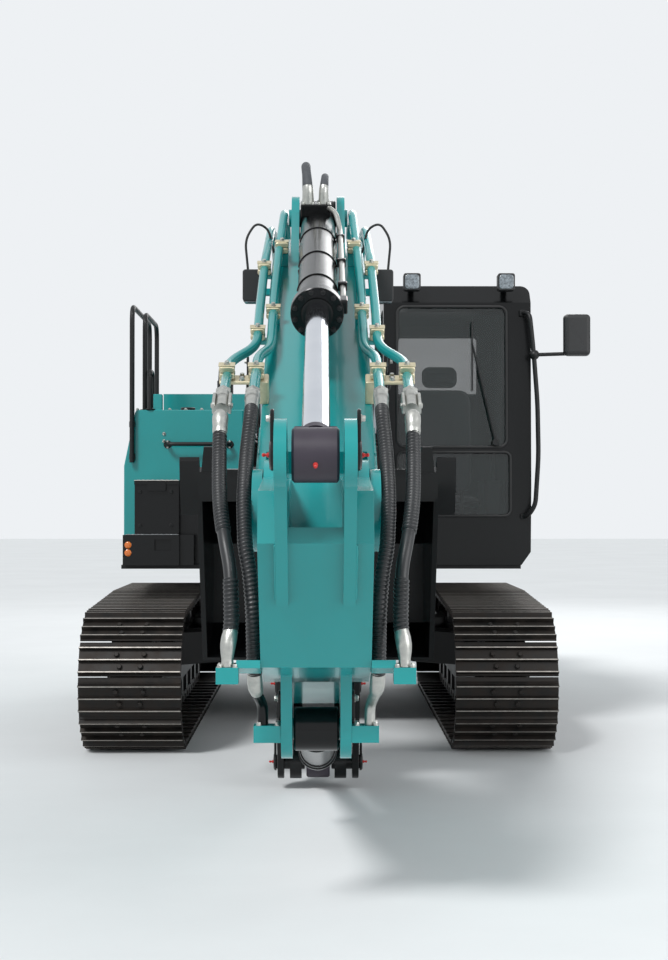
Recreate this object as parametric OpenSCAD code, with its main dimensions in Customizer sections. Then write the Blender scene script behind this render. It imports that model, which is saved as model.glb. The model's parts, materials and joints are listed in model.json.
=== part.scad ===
// Crawler excavator of the 20 tonne class, parked with its arm and bucket tucked in.
// X points to the machine's left (the cab side), the machine faces -Y, Z is up.
// The origin is on the ground, under the axis about which the upper structure swings.

/* [Undercarriage] */
// Distance between the centre lines of the two tracks
gauge = 2200; // [2000:10:2400]
// Width of one track shoe
shoe_w = 600; // [500:10:700]
// Distance between the idler axle and the sprocket axle
tumblers = 3370; // [3200:10:3700]
// Radius of the chain's pitch line round idler and sprocket
pitch_r = 340; // [320:5:360]
// Number of shoes in one track
shoes = 47; // [44:1:52]
// Height of a shoe's bars above the pitch line
bar_h = 78; // [70:1:84]
// Height of the plate of a shoe above the pitch line
plate_h = 52; // [48:1:56]
// Rise of the chain over its carrier rollers
chain_rise = 54; // [10:2:64]
// Radius of the swing bearing
ring_r = 620; // [560:10:680]

/* [Upper structure] */
// Half width of the upper structure
half_w = 1355; // [1250:5:1400]
// Height of the underside of the upper structure
deck_z = 1060; // [1020:5:1100]
// Height of the deck's upper face
deck_top = 1200; // [1160:5:1240]
// Radius of the tail about the swing axis
tail_r = 2860; // [2700:10:2950]
// Height of the engine cover's top
hood_z = 2130; // [2000:10:2250]
// Height of the raised cover over the engine
cover_z = 2325; // [2260:5:2400]
// Height of the fuel tank's top
tank_z = 2120; // [2040:5:2120]
// Height of the tool box
box_z = 1600; // [1500:5:1620]
// Thickness of doors and covers
panel_t = 40; // [30:1:60]

/* [Cab] */
// Inner side of the cab, toward the boom
cab_x0 = 415; // [400:5:450]
// Outer side of the cab
cab_x1 = 1360; // [1300:5:1400]
// Front of the cab
cab_y0 = -1150; // [-1250:10:-1050]
// Rear of the cab
cab_y1 = 600; // [500:10:700]
// Underside of the cab
cab_z0 = 1085; // [1065:5:1200]
// Top of the cab's roof
cab_z1 = 2890; // [2800:10:3000]
// Thickness of the cab's walls
wall = 60; // [50:1:80]

/* [Boom] */
// Boom foot pin: place along Y and height
foot = [-100, 1720];
// From the boom foot pin to the arm's pivot, parked
boom_tip = [-5600, -270];
// From the boom foot pin to the rod pins of the boom cylinders
boom_rod_pin = [-2450, 430];
// From the boom foot pin to the base pin of the arm cylinder
arm_cyl_pin = [-3100, 1230];
// Width of the boom's box
boom_w = 440; // [400:10:460]
// Base pins of the boom cylinders, on the upper structure
boom_cyl_base = [-760, 1190];
// Distance of the boom cylinders from the centre line
boom_cyl_x = 327; // [324:1:329]

/* [Arm] */
// Distance from the arm's pivot to the bucket pin
arm_l = 2810; // [2600:10:3000]
// Slope of the parked arm below the horizontal
arm_tilt = 19; // [16:0.5:20]
// Width of the arm's box
arm_w = 300; // [260:10:310]
// Rod pin of the arm cylinder, along the arm and above its axis
arm_rod_pin = [-831, -99];
// Base pin of the bucket cylinder, along the arm and above its axis
bucket_cyl_pin = [200, -760];
// Distance of the side links' pivot before the bucket pin
link_back = 420; // [400:10:440]

/* [Bucket] */
// Length of the side links
side_l = 600; // [560:10:640]
// Slope of the side links against the arm, bucket curled
side_a = 38; // [34:1:42]
// Length of the push link
push_l = 620; // [580:10:660]
// Distance between the two pins of the bucket
ear_l = 420; // [400:10:440]
// Angle between the bucket's pins and its tooth tips
ear_a = 118; // [110:1:126]
// Distance from the bucket pin to the tooth tips
tip_r = 1340; // [1200:10:1500]
// Width of the bucket's shell
bucket_w = 1200; // [1100:10:1250]

/* [Cylinders] */
// Arm cylinder: length from base pin to gland, barrel, rod
arm_cyl = [1880, 170, 95];
// Boom cylinders: length from base pin to gland, barrel, rod
boom_cyl = [1490, 146, 85];
// Bucket cylinder: length from base pin to gland, barrel, rod
bucket_cyl = [1560, 146, 80];
// Diameter of the boom cylinders' pins
boom_pin = 80; // [60:2:84]
// Diameter of the arm cylinder's pins
arm_pin = 90; // [70:2:94]
// Diameter of the bucket cylinder's pins and of the links' pins
bucket_pin = 76; // [60:2:80]

/* [Hidden] */
$fn = 48;

TEAL = [0.00, 0.55, 0.56];
BLACK = [0.07, 0.07, 0.08];
STEEL = [0.55, 0.56, 0.58];
DARK = [0.16, 0.16, 0.17];
GLASS = [0.35, 0.42, 0.44];

// Gap between a piece and its seat
seat = 0.3;
axle_z = pitch_r + bar_h;
half_t = tumblers / 2;
// Carrier rollers along the track, and the pitch line's height over them
carriers = [-450, 560];
carry_z = axle_z + pitch_r + chain_rise;
// Slope of the chain from a carrier roller down to a tumbler at a distance, and its length
function fall(reach) =
    acos(pitch_r / norm([reach, pitch_r + chain_rise])) - atan2(reach, pitch_r + chain_rise);
function fall_l(reach) = sqrt(pow(reach, 2) + pow(pitch_r + chain_rise, 2) - pow(pitch_r, 2));
rear_fall = fall(half_t - carriers[1]);
front_fall = fall(half_t + carriers[0]);
// Places along the pitch line: sprocket, rear slope, level run, front slope, idler
at_sprocket = tumblers;
at_rear = at_sprocket + pitch_r * (180 - rear_fall) * PI / 180;
at_level = at_rear + fall_l(half_t - carriers[1]);
at_front = at_level + carriers[1] - carriers[0];
at_idler = at_front + fall_l(half_t + carriers[0]);
loop_l = at_idler + pitch_r * (180 - front_fall) * PI / 180;
pitch = loop_l / shoes;

// A (y, z) point turned by an angle
function turn(p, a) = [p[0] * cos(a) - p[1] * sin(a), p[0] * sin(a) + p[1] * cos(a)];
// The point at distances r from p and s from q, on the left of the way from p to q
function meet(p, r, q, s) =
    let (d = norm(q - p), e = (q - p) / d, a = (r * r - s * s + d * d) / (2 * d))
    p + a * e + sqrt(r * r - a * a) * [-e[1], e[0]];
function angle(p, q) = atan2(q[1] - p[1], q[0] - p[0]);
// Place in the parked machine of a point given along the arm and above its axis
function on_arm(p) = tip_at + turn(p, -arm_tilt);

tip_at = foot + boom_tip;
link_pin = [arm_l - link_back, -30];
bucket_at = on_arm([arm_l, 0]);
side_at = on_arm(link_pin);
knee_at = on_arm(link_pin + side_l * [cos(side_a), -sin(side_a)]);
ear_at = meet(bucket_at, ear_l, knee_at, push_l);
tooth_a = angle(bucket_at, ear_at) + ear_a;

// Extrudes a (y, z) outline across the machine, w wide about x
module across(w, x = 0)
    translate([x - w / 2, 0, 0])
        rotate([90, 0, 90])
            linear_extrude(w)
                children();

// A round bar across the machine, w wide about x, centred at p = [y, z]
module bar(p, d, w, x = 0)
    translate([x - w / 2, p[0], p[1]])
        rotate([0, 90, 0])
            cylinder(d = d, h = w);

// Puts what is drawn about [0, 0] at p = [y, z], turned by a
module at(p, a = 0)
    translate([0, p[0], p[1]])
        rotate([a, 0, 0])
            children();

// A box from two corners
module block(a, b)
    translate(a)
        cube(b - a);

// A box with rounded vertical edges
module round_block(a, b, r)
    translate([a[0], a[1], a[2]])
        linear_extrude(b[2] - a[2])
            rounded([b[0] - a[0], b[1] - a[1]], r);

// A rectangle from the origin with rounded corners
module rounded(s, r) {
    translate([r, 0])
        square([s[0] - 2 * r, s[1]]);
    translate([0, r])
        square([s[0], s[1] - 2 * r]);
    for (x = [r, s[0] - r], y = [r, s[1] - r])
        translate([x, y])
            circle(r = r);
}

// A round rod from a to b
module rod(a, b, d) {
    v = b - a;
    translate(a)
        rotate([0, acos(v[2] / norm(v)), atan2(v[1], v[0])])
            cylinder(d = d, h = norm(v));
}

// A way through points whose inner corners are rounded, each by a curve that starts l before it
function bend(points, l, k = 4) = [
    points[0],
    for (i = [1:len(points) - 2])
        let (p = points[i], a = points[i - 1] - p, b = points[i + 1] - p,
            r = min(l, norm(a) * 0.48, norm(b) * 0.48), u = a / norm(a), v = b / norm(b))
        for (j = [0:k])
            let (t = j / k)
            p + r * ((1 - t) * (1 - t) * u + t * t * v),
    points[len(points) - 1]];

// A tube of n sides along a way that never runs along X
module tube(way, d, n = 10) {
    last = len(way) - 1;
    rings = [for (i = [0:last])
        let (t = way[min(i + 1, last)] - way[max(i - 1, 0)],
            u = cross(t, [1, 0, 0]) / norm(cross(t, [1, 0, 0])),
            v = cross(t, u) / norm(cross(t, u)))
        for (j = [0:n - 1])
            way[i] + d / 2 * (cos(360 * j / n) * u + sin(360 * j / n) * v)];
    faces = concat(
        [[for (j = [0:n - 1]) j]],
        [for (i = [0:last - 1], j = [0:n - 1])
            [i * n + j, (i + 1) * n + j, (i + 1) * n + (j + 1) % n, i * n + (j + 1) % n]],
        [[for (j = [n - 1:-1:0]) last * n + j]]);
    polyhedron(rings, faces, convexity = 4);
}

// A bent pipe through a list of points
module pipe(points, d, l = 60, n = 10)
    tube(len(points) > 2 ? bend(points, l) : points, d, n);

// Both sides of the machine
module both() {
    children();
    mirror([1, 0, 0])
        children();
}

// A point at height h over the pitch line round sprocket (1) or idler (-1), heading along a
function round_tumbler(side, a, h = 0) =
    [side * half_t + (pitch_r + h) * sin(a), axle_z - (pitch_r + h) * cos(a), a];

// Outline of the whole loop at height h over the pitch line
module loop_shape(h)
    polygon(concat(
        [for (j = [0:20]) let (p = round_tumbler(1, (180 - rear_fall) * j / 20, h)) [p[0], p[1]]],
        [[carriers[1], carry_z + h], [carriers[0], carry_z + h]],
        [for (j = [0:20])
            let (p = round_tumbler(-1, 180 + front_fall + (180 - front_fall) * j / 20, h))
            [p[0], p[1]]]));

// A point l along a slope of the chain that begins at p and heads along a
function along(p, l, a) = [p[0] + l * cos(a), p[1] + l * sin(a), a];

// [y, z, heading] of the pitch line, a distance s from the front end of the lower run
function on_loop(s) =
    s < at_sprocket ? [-half_t + s, axle_z - pitch_r, 0] :
    s < at_rear ? round_tumbler(1, (s - at_sprocket) / pitch_r * 180 / PI) :
    s < at_level ? along(round_tumbler(1, 180 - rear_fall), s - at_rear, 180 - rear_fall) :
    s < at_front ? [carriers[1] - (s - at_level), carry_z, 180] :
    s < at_idler ? along([carriers[0], carry_z], s - at_front, 180 + front_fall) :
        round_tumbler(-1, 180 + front_fall + (s - at_idler) / pitch_r * 180 / PI);

// Section of one shoe with its three bars: along the track, height over the pitch line
SHOE = concat(
    [[-0.465 * pitch, 36], [-0.465 * pitch, plate_h]],
    [for (c = [-0.39, 0, 0.39], q = [[-8, 0], [-4, 1], [4, 1], [8, 0]])
        [c * pitch + q[0], plate_h + q[1] * (bar_h - plate_h)]],
    [[0.465 * pitch, plate_h], [0.465 * pitch, 36]]);

module track(side) {
    color(BLACK) {
        translate([side * gauge / 2, 0, 0])
            across(shoe_w)
                difference() {
                    polygon([for (i = [0:shoes - 1], q = SHOE)
                        let (f = on_loop((i + 0.5) * pitch))
                        [f[0], f[1]] + q[0] * [cos(f[2]), sin(f[2])] + q[1] * [sin(f[2]), -cos(f[2])]]);
                    loop_shape(28);
                }
        // Link rails and bushings
        for (x = [-98, 98])
            translate([side * gauge / 2 + x, 0, 0])
                across(46)
                    difference() {
                        loop_shape(30);
                        loop_shape(-44);
                    }
        for (i = [0:shoes - 1])
            let (f = on_loop(i * pitch + 1))
            translate([side * gauge / 2, 0, 0])
                bar([f[0], f[1]], 50, 160, 0, $fn = 8);
    }
}

module track_frame(side) {
    x = side * gauge / 2;
    color(BLACK) {
        difference() {
            across(330, x)
                polygon([[-1150, 285], [1150, 285], [1230, 330], [1230, 520], [1080, 600],
                    [-1080, 600], [-1230, 540], [-1230, 330]]);
            // Window of the recoil spring, open to the outside
            block([x + side * 20 - 110, -1400, 350], [x + side * 20 + 110, -900, 480]);
        }
        // Yoke that carries the idler
        for (s = [-1, 1])
            across(36, x + s * 147)
                polygon([[-1800, axle_z - 70], [-1800, axle_z + 70], [-1100, 560], [-1100, 330]]);
        // Bracket of the final drive, bored for its motor
        difference() {
            across(60, x - side * 135)
                polygon([[1100, 300], [1100, 580], [1500, axle_z + 190], [1780, axle_z + 190],
                    [1860, axle_z + 100], [1860, axle_z - 100], [1780, axle_z - 190], [1500, axle_z - 190]]);
            bar([half_t, axle_z], 300 + 2 * seat, 100, x - side * 135);
        }
        // Step on the outside
        block([x + side * 210 - 45, -250, 560], [x + side * 210 + 45, 250, 590]);
    }
}

module idler(side) {
    x = side * gauge / 2;
    color(BLACK) {
        difference() {
            union() {
                bar([-half_t, axle_z], 2 * (pitch_r - 46), 240, x);
                bar([-half_t, axle_z], 2 * (pitch_r - 30), 120, x);
            }
            for (s = [-1, 1])
                bar([-half_t, axle_z], 2 * (pitch_r - 100), 80, x + s * 100);
        }
        bar([-half_t, axle_z], 130, 258 - 2 * seat, x);
    }
}

module sprocket(side) {
    x = side * gauge / 2;
    teeth = 21;
    color(BLACK) {
        // Toothed ring
        across(70, x)
            difference() {
                union() {
                    circle_at([half_t, axle_z], pitch_r - 56);
                    for (i = [0:teeth - 1])
                        let (a = 360 * (i + 0.5) / teeth)
                        translate([half_t, axle_z])
                            rotate(a)
                                polygon([[pitch_r - 60, -26], [pitch_r - 28, -10], [pitch_r - 28, 10],
                                    [pitch_r - 60, 26]]);
                }
                circle_at([half_t, axle_z], 200);
            }
        // Final drive, hub cover and motor
        bar([half_t, axle_z], 420, 170, x + side * 30);
        bar([half_t, axle_z], 330, 60, x + side * 140);
        bar([half_t, axle_z], 300, 210, x - side * 140);
    }
}

module circle_at(p, r)
    translate(p)
        circle(r = r);

module rollers(side) {
    x = side * gauge / 2;
    low = axle_z - pitch_r + 44 + 74 + seat;
    high = carry_z - 44 - 52 - seat;
    color(BLACK) {
        // Track rollers between their brackets
        for (i = [0:6]) {
            y = -1100 + i * 2200 / 6;
            bar([y, low], 148, 250, x);
            bar([y, low], 60, 330, x);
            for (s = [-1, 1])
                block([x + s * 148 - 17, y - 60, low - 20], [x + s * 148 + 17, y + 60, 285 - seat]);
        }
        // Carrier rollers
        for (y = carriers) {
            bar([y, high], 104, 230, x);
            bar([y, high], 50, 270, x - side * 10);
            block([x - side * 130 - 15, y - 50, 600 + seat], [x - side * 130 + 15, y + 50, high + 30]);
        }
    }
}

module car_body() {
    color(BLACK) {
        // Centre box
        translate([0, 0, 470])
            linear_extrude(260)
                polygon([for (s = [1, -1], q = [[-650, -760], [650, -760], [760, -600]])
                    s * [q[0], q[1]]]);
        // Legs to the track frames
        for (sx = [-1, 1], sy = [-1, 1])
            leg(sx, sy);
        translate([0, 0, 700])
            cylinder(r = 600, h = 180);
        // Lower ring of the swing bearing
        translate([0, 0, 870])
            cylinder(r = ring_r, h = 90);
    }
}

// One leg from the centre box to a track frame
module leg(sx, sy) {
    leg_x = gauge / 2 - 165 - seat;
    points = [[sx * 500, sy * 320], [sx * 620, sy * 720], [sx * leg_x, sy * 980], [sx * leg_x, sy * 560]];
    translate([0, 0, 430])
        linear_extrude(210)
            polygon(points);
}

// Rear end of the frame, at the counterweight
rear_y = 2230 - seat;

// Outline of the plates that carry the boom, in (y, z)
module foot_plate() {
    circle_at(boom_cyl_base, 88);
    polygon([[-848, deck_z + 20], [-848, 1190], [-760, 1240], [-668, 1240], [-640, 1340], [-260, 1760],
        [-170, 1860], [-30, 1860], [60, 1760], [620, 1330], [1500, 1240], [1500, deck_z + 20]]);
}

module revolving_frame() {
    color(BLACK) {
        translate([0, 0, 960 + seat])
            cylinder(r = ring_r - 40, h = deck_z - 955);
        // Centre plate and the two plates that carry the boom
        block([-480, -1000, deck_z], [cab_x0 - 15, rear_y, deck_z + 45]);
        block([cab_x0 - 16, 620, deck_z], [480, rear_y, deck_z + 45]);
        difference() {
            union() {
                for (x = [-261, 261])
                    across(30, x)
                        foot_plate();
                // Outer lugs of the boom cylinders
                for (s = [-1, 1])
                    across(30, s * 393) {
                        circle_at(boom_cyl_base, 88);
                        polygon([[-848, deck_z + 20], [-848, 1190], [-672, 1190], [-560, deck_z + 20]]);
                    }
            }
            bar(foot, 110, 900);
            bar(boom_cyl_base, boom_pin, 900);
        }
        bar(foot, 110, 600);
        for (s = [-1, 1])
            bar(boom_cyl_base, boom_pin, 164, s * boom_cyl_x);
        // Pads of the engine
        for (x = [-480, 540], y = [1450, 1950])
            block([x - 50, y - 50, deck_top - 1], [x + 50, y + 50, deck_top + 120 - seat]);
        // Platforms of the cab and of the tool box
        block([cab_x0 - 15, -1080, deck_z], [cab_x1 - 60, 620, cab_z0 - seat]);
        block([-half_w + 85, -1080, deck_z], [-480, -430, cab_z0 - seat]);
        // Side frames and cross members: side, front
        for (q = [[-1, -429], [1, 640]]) {
            x = q[0] * (half_w - 85);
            block([x - 50, q[1], deck_z], [x + 50, rear_y, deck_top - 20]);
            for (y = [560, 1300, 2130])
                block([min(q[0] * 470, x - q[0] * 40), max(y, q[1]), deck_z],
                    [max(q[0] * 470, x - q[0] * 40), max(y, q[1]) + 90, deck_top - 20]);
        }
        // Deck plates of the right and of the rear
        block([-half_w + 35, -429, deck_top - 21], [-470, rear_y, deck_top]);
        block([470, 640, deck_top - 21], [half_w - 35, rear_y, deck_top]);
        for (x = [-480, 296])
            block([x, 1500, deck_z + 40], [x + 184, rear_y, deck_top]);
    }
}

module counterweight() {
    w = half_w - 15;
    top = hood_z - 20;
    color(TEAL)
        difference() {
            intersection() {
                // Turned about the swing axis: lower slope, tail, upper edge
                rotate_extrude($fn = 96)
                    polygon([[1900, deck_z], [tail_r - 260, deck_z], [tail_r, deck_z + 420],
                        [tail_r, top - 70], [tail_r - 20, top - 20], [tail_r - 70, top], [1900, top]]);
                // Flat front and sides, corners cut at a slant
                translate([0, 0, deck_z - 10])
                    linear_extrude(top - deck_z + 20)
                        polygon([[-w, rear_y + seat], [-w, 2440], [60 - w, 2560], [170 - w, 3000],
                            [w - 170, 3000], [w - 60, 2560], [w, 2440], [w, rear_y + seat]]);
            }
            // Recess over the drawbar pin, holes for lifting
            block([-160, tail_r - 290, deck_z - 10], [160, tail_r + 10, deck_z + 200]);
            for (x = [-700, 700])
                translate([x, 2480, top - 110])
                    cylinder(d = 80, h = 120);
        }
}

module engine() {
    color(DARK)
        block([-560, 1350, deck_top + 120], [620, 2050, 1950]);
}

module cooler() {
    color(BLACK) {
        block([820, 1180, deck_top + seat], [960, 2100, 1980]);
        block([1000, 1200, deck_top + seat], [1050, 2080, 1900]);
    }
}

module valve_block() {
    color(DARK) {
        block([-210, 420, deck_z + 45 + seat], [210, 760, 1450]);
        translate([0, 150, deck_z + 45 + seat])
            cylinder(d = 300, h = 380);
        for (x = [-150, -50, 50, 150])
            translate([x, 590, 1440])
                cylinder(d = 60, h = 70);
    }
}

// Side outline of the cab, in (y, z), moved inward by g
module cab_side(g = 0) {
    polygon([[cab_y0 + 40 + g, cab_z0 + g], [cab_y0 + g, cab_z0 + 500], [cab_y0 + 20 + g, cab_z1 - 120],
        [cab_y0 + 130 + g / 2, cab_z1 - g], [cab_y1 - 70 - g, cab_z1 - g], [cab_y1 - g, cab_z1 - 90],
        [cab_y1 - g, cab_z0 + g]]);
}

cab_w = cab_x1 - cab_x0;
cab_x = (cab_x0 + cab_x1) / 2;
// Heights of the sill of the upper windows and of the front's lower pane
sill_z = 1825;
// The door's outline in (y, z): front, rear, bottom and top
door_y0 = -980;
door_y1 = -90;
door_z0 = 1240;
door_z1 = 2760;

// Front outline of the cab, run through it: rounded roof edges, outer sill cut at a slant
module cab_front()
    translate([0, 1500, 0])
        rotate([90, 0, 0])
            linear_extrude(3000)
                polygon(concat(
                    [[cab_x0, cab_z0], [cab_x1 - 59, cab_z0], [cab_x1, cab_z0 + 84]],
                    [for (a = [0:15:90]) [cab_x1 - 55 + 55 * cos(a), cab_z1 - 55 + 55 * sin(a)]],
                    [for (a = [90:30:180]) [cab_x0 + 30 + 30 * cos(a), cab_z1 - 30 + 30 * sin(a)]]));

// Panes of the cab's front between two places along Y, g smaller all round
module upper_pane(y0, y1, g = 0)
    round_shell([cab_x0 + 85 + g, y0, sill_z + 16 + g], [cab_x1 - 157 - g, y1, cab_z1 - 148 - g], 50 - g);
module lower_pane(y0, y1, g = 0)
    round_shell([cab_x0 + 85 + g, y0, 1400 + g], [cab_x1 - 132 - g, y1, sill_z - 16 - g], 40 - g);

module cab() {
    color(BLACK)
        difference() {
            intersection() {
                across(cab_w, cab_x)
                    cab_side();
                cab_front();
            }
            across(cab_w - 2 * wall, cab_x)
                cab_side(wall);
            // Front windows
            upper_pane(cab_y0 - 60, cab_y0 + 150);
            lower_pane(cab_y0 - 60, cab_y0 + 150);
            // Rear window
            block([cab_x0 + 165, cab_y1 - 150, 2280], [cab_x1 - 180, cab_y1 + 60, cab_z1 - 168]);
            // Windows toward the boom
            block([cab_x0 - 20, cab_y0 + 150, 1520], [cab_x0 + wall + 20, -60, cab_z1 - 160]);
            block([cab_x0 - 20, 10, sill_z], [cab_x0 + wall + 20, cab_y1 - 110, cab_z1 - 160]);
            // Doorway and the window behind it
            block([cab_x1 - wall - 20, door_y0, door_z0], [cab_x1 + 20, door_y1, door_z1]);
            block([cab_x1 - wall - 20, 0, sill_z], [cab_x1 + 20, cab_y1 - 110, cab_z1 - 160]);
            // Roof hatch
            block([cab_x0 + 200, -600, cab_z1 - wall - 20], [cab_x1 - 200, -100, cab_z1 + 20]);
        }
    color(BLACK)
        for (z = [1400, 2460])
            knuckle(1, cab_x1, door_y1 + 5, 60, z);
}

module cab_glass() {
    g = seat;
    color(GLASS, 0.5) {
        // Front panes, rear pane, panes toward the boom, pane behind the door, hatch
        upper_pane(cab_y0 + 24, cab_y0 + 30, g);
        lower_pane(cab_y0 + 24, cab_y0 + 30, g);
        block([cab_x0 + 165 + g, cab_y1 - 36, 2280 + g], [cab_x1 - 180 - g, cab_y1 - 30, cab_z1 - 168 - g]);
        for (q = [[cab_y0 + 150, 1520, -60], [10, sill_z, cab_y1 - 110]])
            block([cab_x0 + 26, q[0] + g, q[1] + g], [cab_x0 + 32, q[2] - g, cab_z1 - 160 - g]);
        block([cab_x1 - 32, g, sill_z + g], [cab_x1 - 26, cab_y1 - 110 - g, cab_z1 - 160 - g]);
        block([cab_x0 + 200 + g, -600 + g, cab_z1 - 34], [cab_x1 - 200 - g, -100 - g, cab_z1 - 26]);
    }
}

module cab_door() {
    g = 6;
    color(BLACK) {
        difference() {
            block([cab_x1 - wall + 8, door_y0 + g, door_z0 + g], [cab_x1, door_y1 - g, door_z1 - g]);
            block([cab_x1 - wall, door_y0 + 80, sill_z - 40], [cab_x1 + 10, door_y1 - 80, door_z1 - 90]);
        }
        for (z = [1440, 2500])
            knuckle(1, cab_x1, door_y1 + 5, -60, z + seat);
        // Handle
        block([cab_x1 - 1, door_y0 + 60, 1700], [cab_x1 + 28, door_y0 + 200, 1740]);
    }
}

module door_glass() {
    color(GLASS, 0.5)
        block([cab_x1 - 30, door_y0 + 80 + seat, sill_z - 40 + seat],
            [cab_x1 - 24, door_y1 - 80 - seat, door_z1 - 90 - seat]);
}

module operator_chair() {
    x = cab_x - 10;
    color(DARK) {
        round_block([x - 200, -250, cab_z0 + wall + seat], [x + 200, 180, 1420], 60);
        round_block([x - 250, -300, 1420], [x + 250, 230, 1560], 70);
        // Backrest and headrest
        translate([x, 200, 1540])
            rotate([-10, 0, 0]) {
                translate([-230, -60, 0])
                    cube([460, 120, 780]);
                translate([-130, -50, 800])
                    cube([260, 100, 150]);
                translate([-60, -15, 770])
                    cube([120, 30, 40]);
            }
    }
}

module console() {
    x = cab_x - 10;
    color(DARK) {
        for (s = [-1, 1]) {
            round_block([x + s * 330 - 69, -330, cab_z0 + wall + seat], [x + s * 330 + 69, 220, 1640], 40);
            rod([x + s * 330, -250, 1600], [x + s * 320, -290, 1830], 34, $fn = 12);
        }
        // Travel levers and pedals
        for (s = [-1, 1]) {
            rod([x + s * 70, -820, cab_z0 + wall + 30], [x + s * 70, -760, 1560], 26, $fn = 12);
            block([x + s * 70 - 45, -900, cab_z0 + wall + seat], [x + s * 70 + 45, -740, cab_z0 + wall + 60]);
        }
        block([cab_x0 + wall + seat, -960, 1500], [cab_x0 + 110, -860, 1900]);
    }
}

// Place of the handrails across the machine
rail_x = -half_w + 80;

module fuel_tank() {
    color(TEAL) {
        translate([0, 630, 0])
            rotate([90, 0, 0])
                linear_extrude(1050)
                    polygon([[-half_w + 22, deck_top + seat], [-half_w + 22, tank_z - 383],
                        [-half_w + 97, tank_z - 14], [-half_w + 110, tank_z], [-520, tank_z],
                        [-520, deck_top + seat]]);
        // Filler, and the small post before the inner rail
        translate([-half_w + 409, 200, tank_z - 10])
            cylinder(d = 90, h = 55);
        block([rail_x + 139, -405, tank_z - 1], [rail_x + 201, -345, tank_z + 110]);
    }
}

// Inner edge of the tool box and the axis of its lid's hinge, in (y, z)
box_x = -900;
lid_axis = [-440, box_z + 14];

module tool_box() {
    x0 = -half_w + 170;
    color(BLACK) {
        difference() {
            union() {
                block([x0, -1080, cab_z0], [box_x, -430, box_z]);
                // Closed cover beside it
                block([box_x - 1, -1010, cab_z0], [-520, -430, box_z]);
            }
            block([x0 + 30, -1050, cab_z0 + 30], [box_x - 30, -460, box_z + 60]);
        }
        // Outer knuckles of the lid's hinge
        for (x = [x0 + 30, box_x - 70]) {
            bar(lid_axis, 24, 40, x + 20);
            block([x, -446, box_z - 1], [x + 40, -434, box_z + 14]);
        }
        // Step box in front with the recess of its vent, and a narrower step beside it
        difference() {
            block([-half_w + 106, -1180, cab_z0], [-890, -1079, 1279]);
            block([-1046, -1190, 1180], [-940, -1160, 1250]);
        }
        block([-891, -1140, cab_z0], [-800, -1009, 1279]);
    }
    // Filter head beside the tool box
    color(DARK)
        translate([-840, -960, box_z + seat]) {
            cylinder(d = 104, h = 70);
            cylinder(d = 70, h = 120);
        }
}

module tool_box_lid() {
    x0 = -half_w + 170;
    mid = (x0 + box_x) / 2;
    color(BLACK) {
        block([x0 - 2, -1090, box_z + seat], [box_x + 2, -456, box_z + 28]);
        block([mid - 50, -457, box_z + 4], [mid + 50, lid_axis[0], box_z + 26]);
        bar(lid_axis, 24, 100, mid);
        // Grip over the front edge
        block([mid - 60, -1100, box_z - 40], [mid + 60, -1086, box_z + 20]);
    }
}

module handrails() {
    x0 = rail_x;
    color(BLACK) {
        // Long rail: its front leg stands before the tank, its rear leg on the cover behind it
        pipe([[x0, -450, 1760], [x0, -450, 2830], [x0, 700, 2830], [x0, 700, hood_z - 20 + seat]], 34, 110);
        // Inner rail, on the tank
        pipe([[x0 + 75, -330, tank_z + seat], [x0 + 75, -330, 2790], [x0 + 75, 480, 2790],
            [x0 + 75, 480, tank_z + seat]], 34, 110);
        // Small hoop beside it
        pipe([[x0 + 120, -400, tank_z + seat], [x0 + 120, -400, 2390], [x0 + 120, -250, 2390],
            [x0 + 120, -250, tank_z + seat]], 26, 50);
        // Brackets of the front leg
        for (z = [1780, 2000])
            block([x0 - 20, -450, z], [x0 + 20, -420 - seat, z + 40]);
        // Grab bar on the front of the tank
        for (x = [-1035, -611])
            rod([x, -420 - seat, 1884], [x, -500, 1884], 28);
        rod([-1049, -500, 1884], [-597, -500, 1884], 28);
    }
}

module mirror_arm() {
    x = cab_x1;
    y = cab_y0 - 92;
    color(BLACK) {
        // Tube along the cab's front corner and the arm of the mirror
        pipe([[x - 55, cab_y0 + 4, 2700], [x - 20, y + 10, 2692], [x + 3, y, 2456], [x + 28, y, 2119],
            [x + 34, y, 1782], [x + 15, y + 10, 1470], [x - 25, y + 40, 1405],
            [x - 50, cab_y0 + 2, 1396]], 30, 80);
        // Its feet on the cab's front
        block([x - 75, cab_y0 - 10, 2680], [x - 35, cab_y0 + 18, 2720]);
        block([x - 70, cab_y0 - 10, 1380], [x - 30, cab_y0 + 13.5, 1410]);
        translate([x + 9, y, 2424])
            sphere(d = 65);
        rod([x + 9, y, 2424], [x + 264, y - 18, 2431], 24, $fn = 12);
        round_shell([x + 187, y - 88, 2412], [x + 359, y - 18, 2679], 25);
    }
}

// A box with rounded edges along Y
module round_shell(a, b, r)
    translate([a[0], b[1], a[2]])
        rotate([90, 0, 0])
            linear_extrude(b[1] - a[1])
                rounded([b[0] - a[0], b[2] - a[2]], r);

module cab_lamps() {
    // Lamps before the roof's edge, each on a bracket that lies on the roof
    for (x = [cab_x0 + 180, cab_x1 - 163])
        color(DARK) {
            round_shell([x - 55, cab_y0 - 50, cab_z1 - 50], [x + 55, cab_y0 + 30, cab_z1 + 60], 15);
            block([x - 20, cab_y0 + 29, cab_z1 + seat], [x + 20, cab_y0 + 200, cab_z1 + 9]);
        }
}

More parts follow.
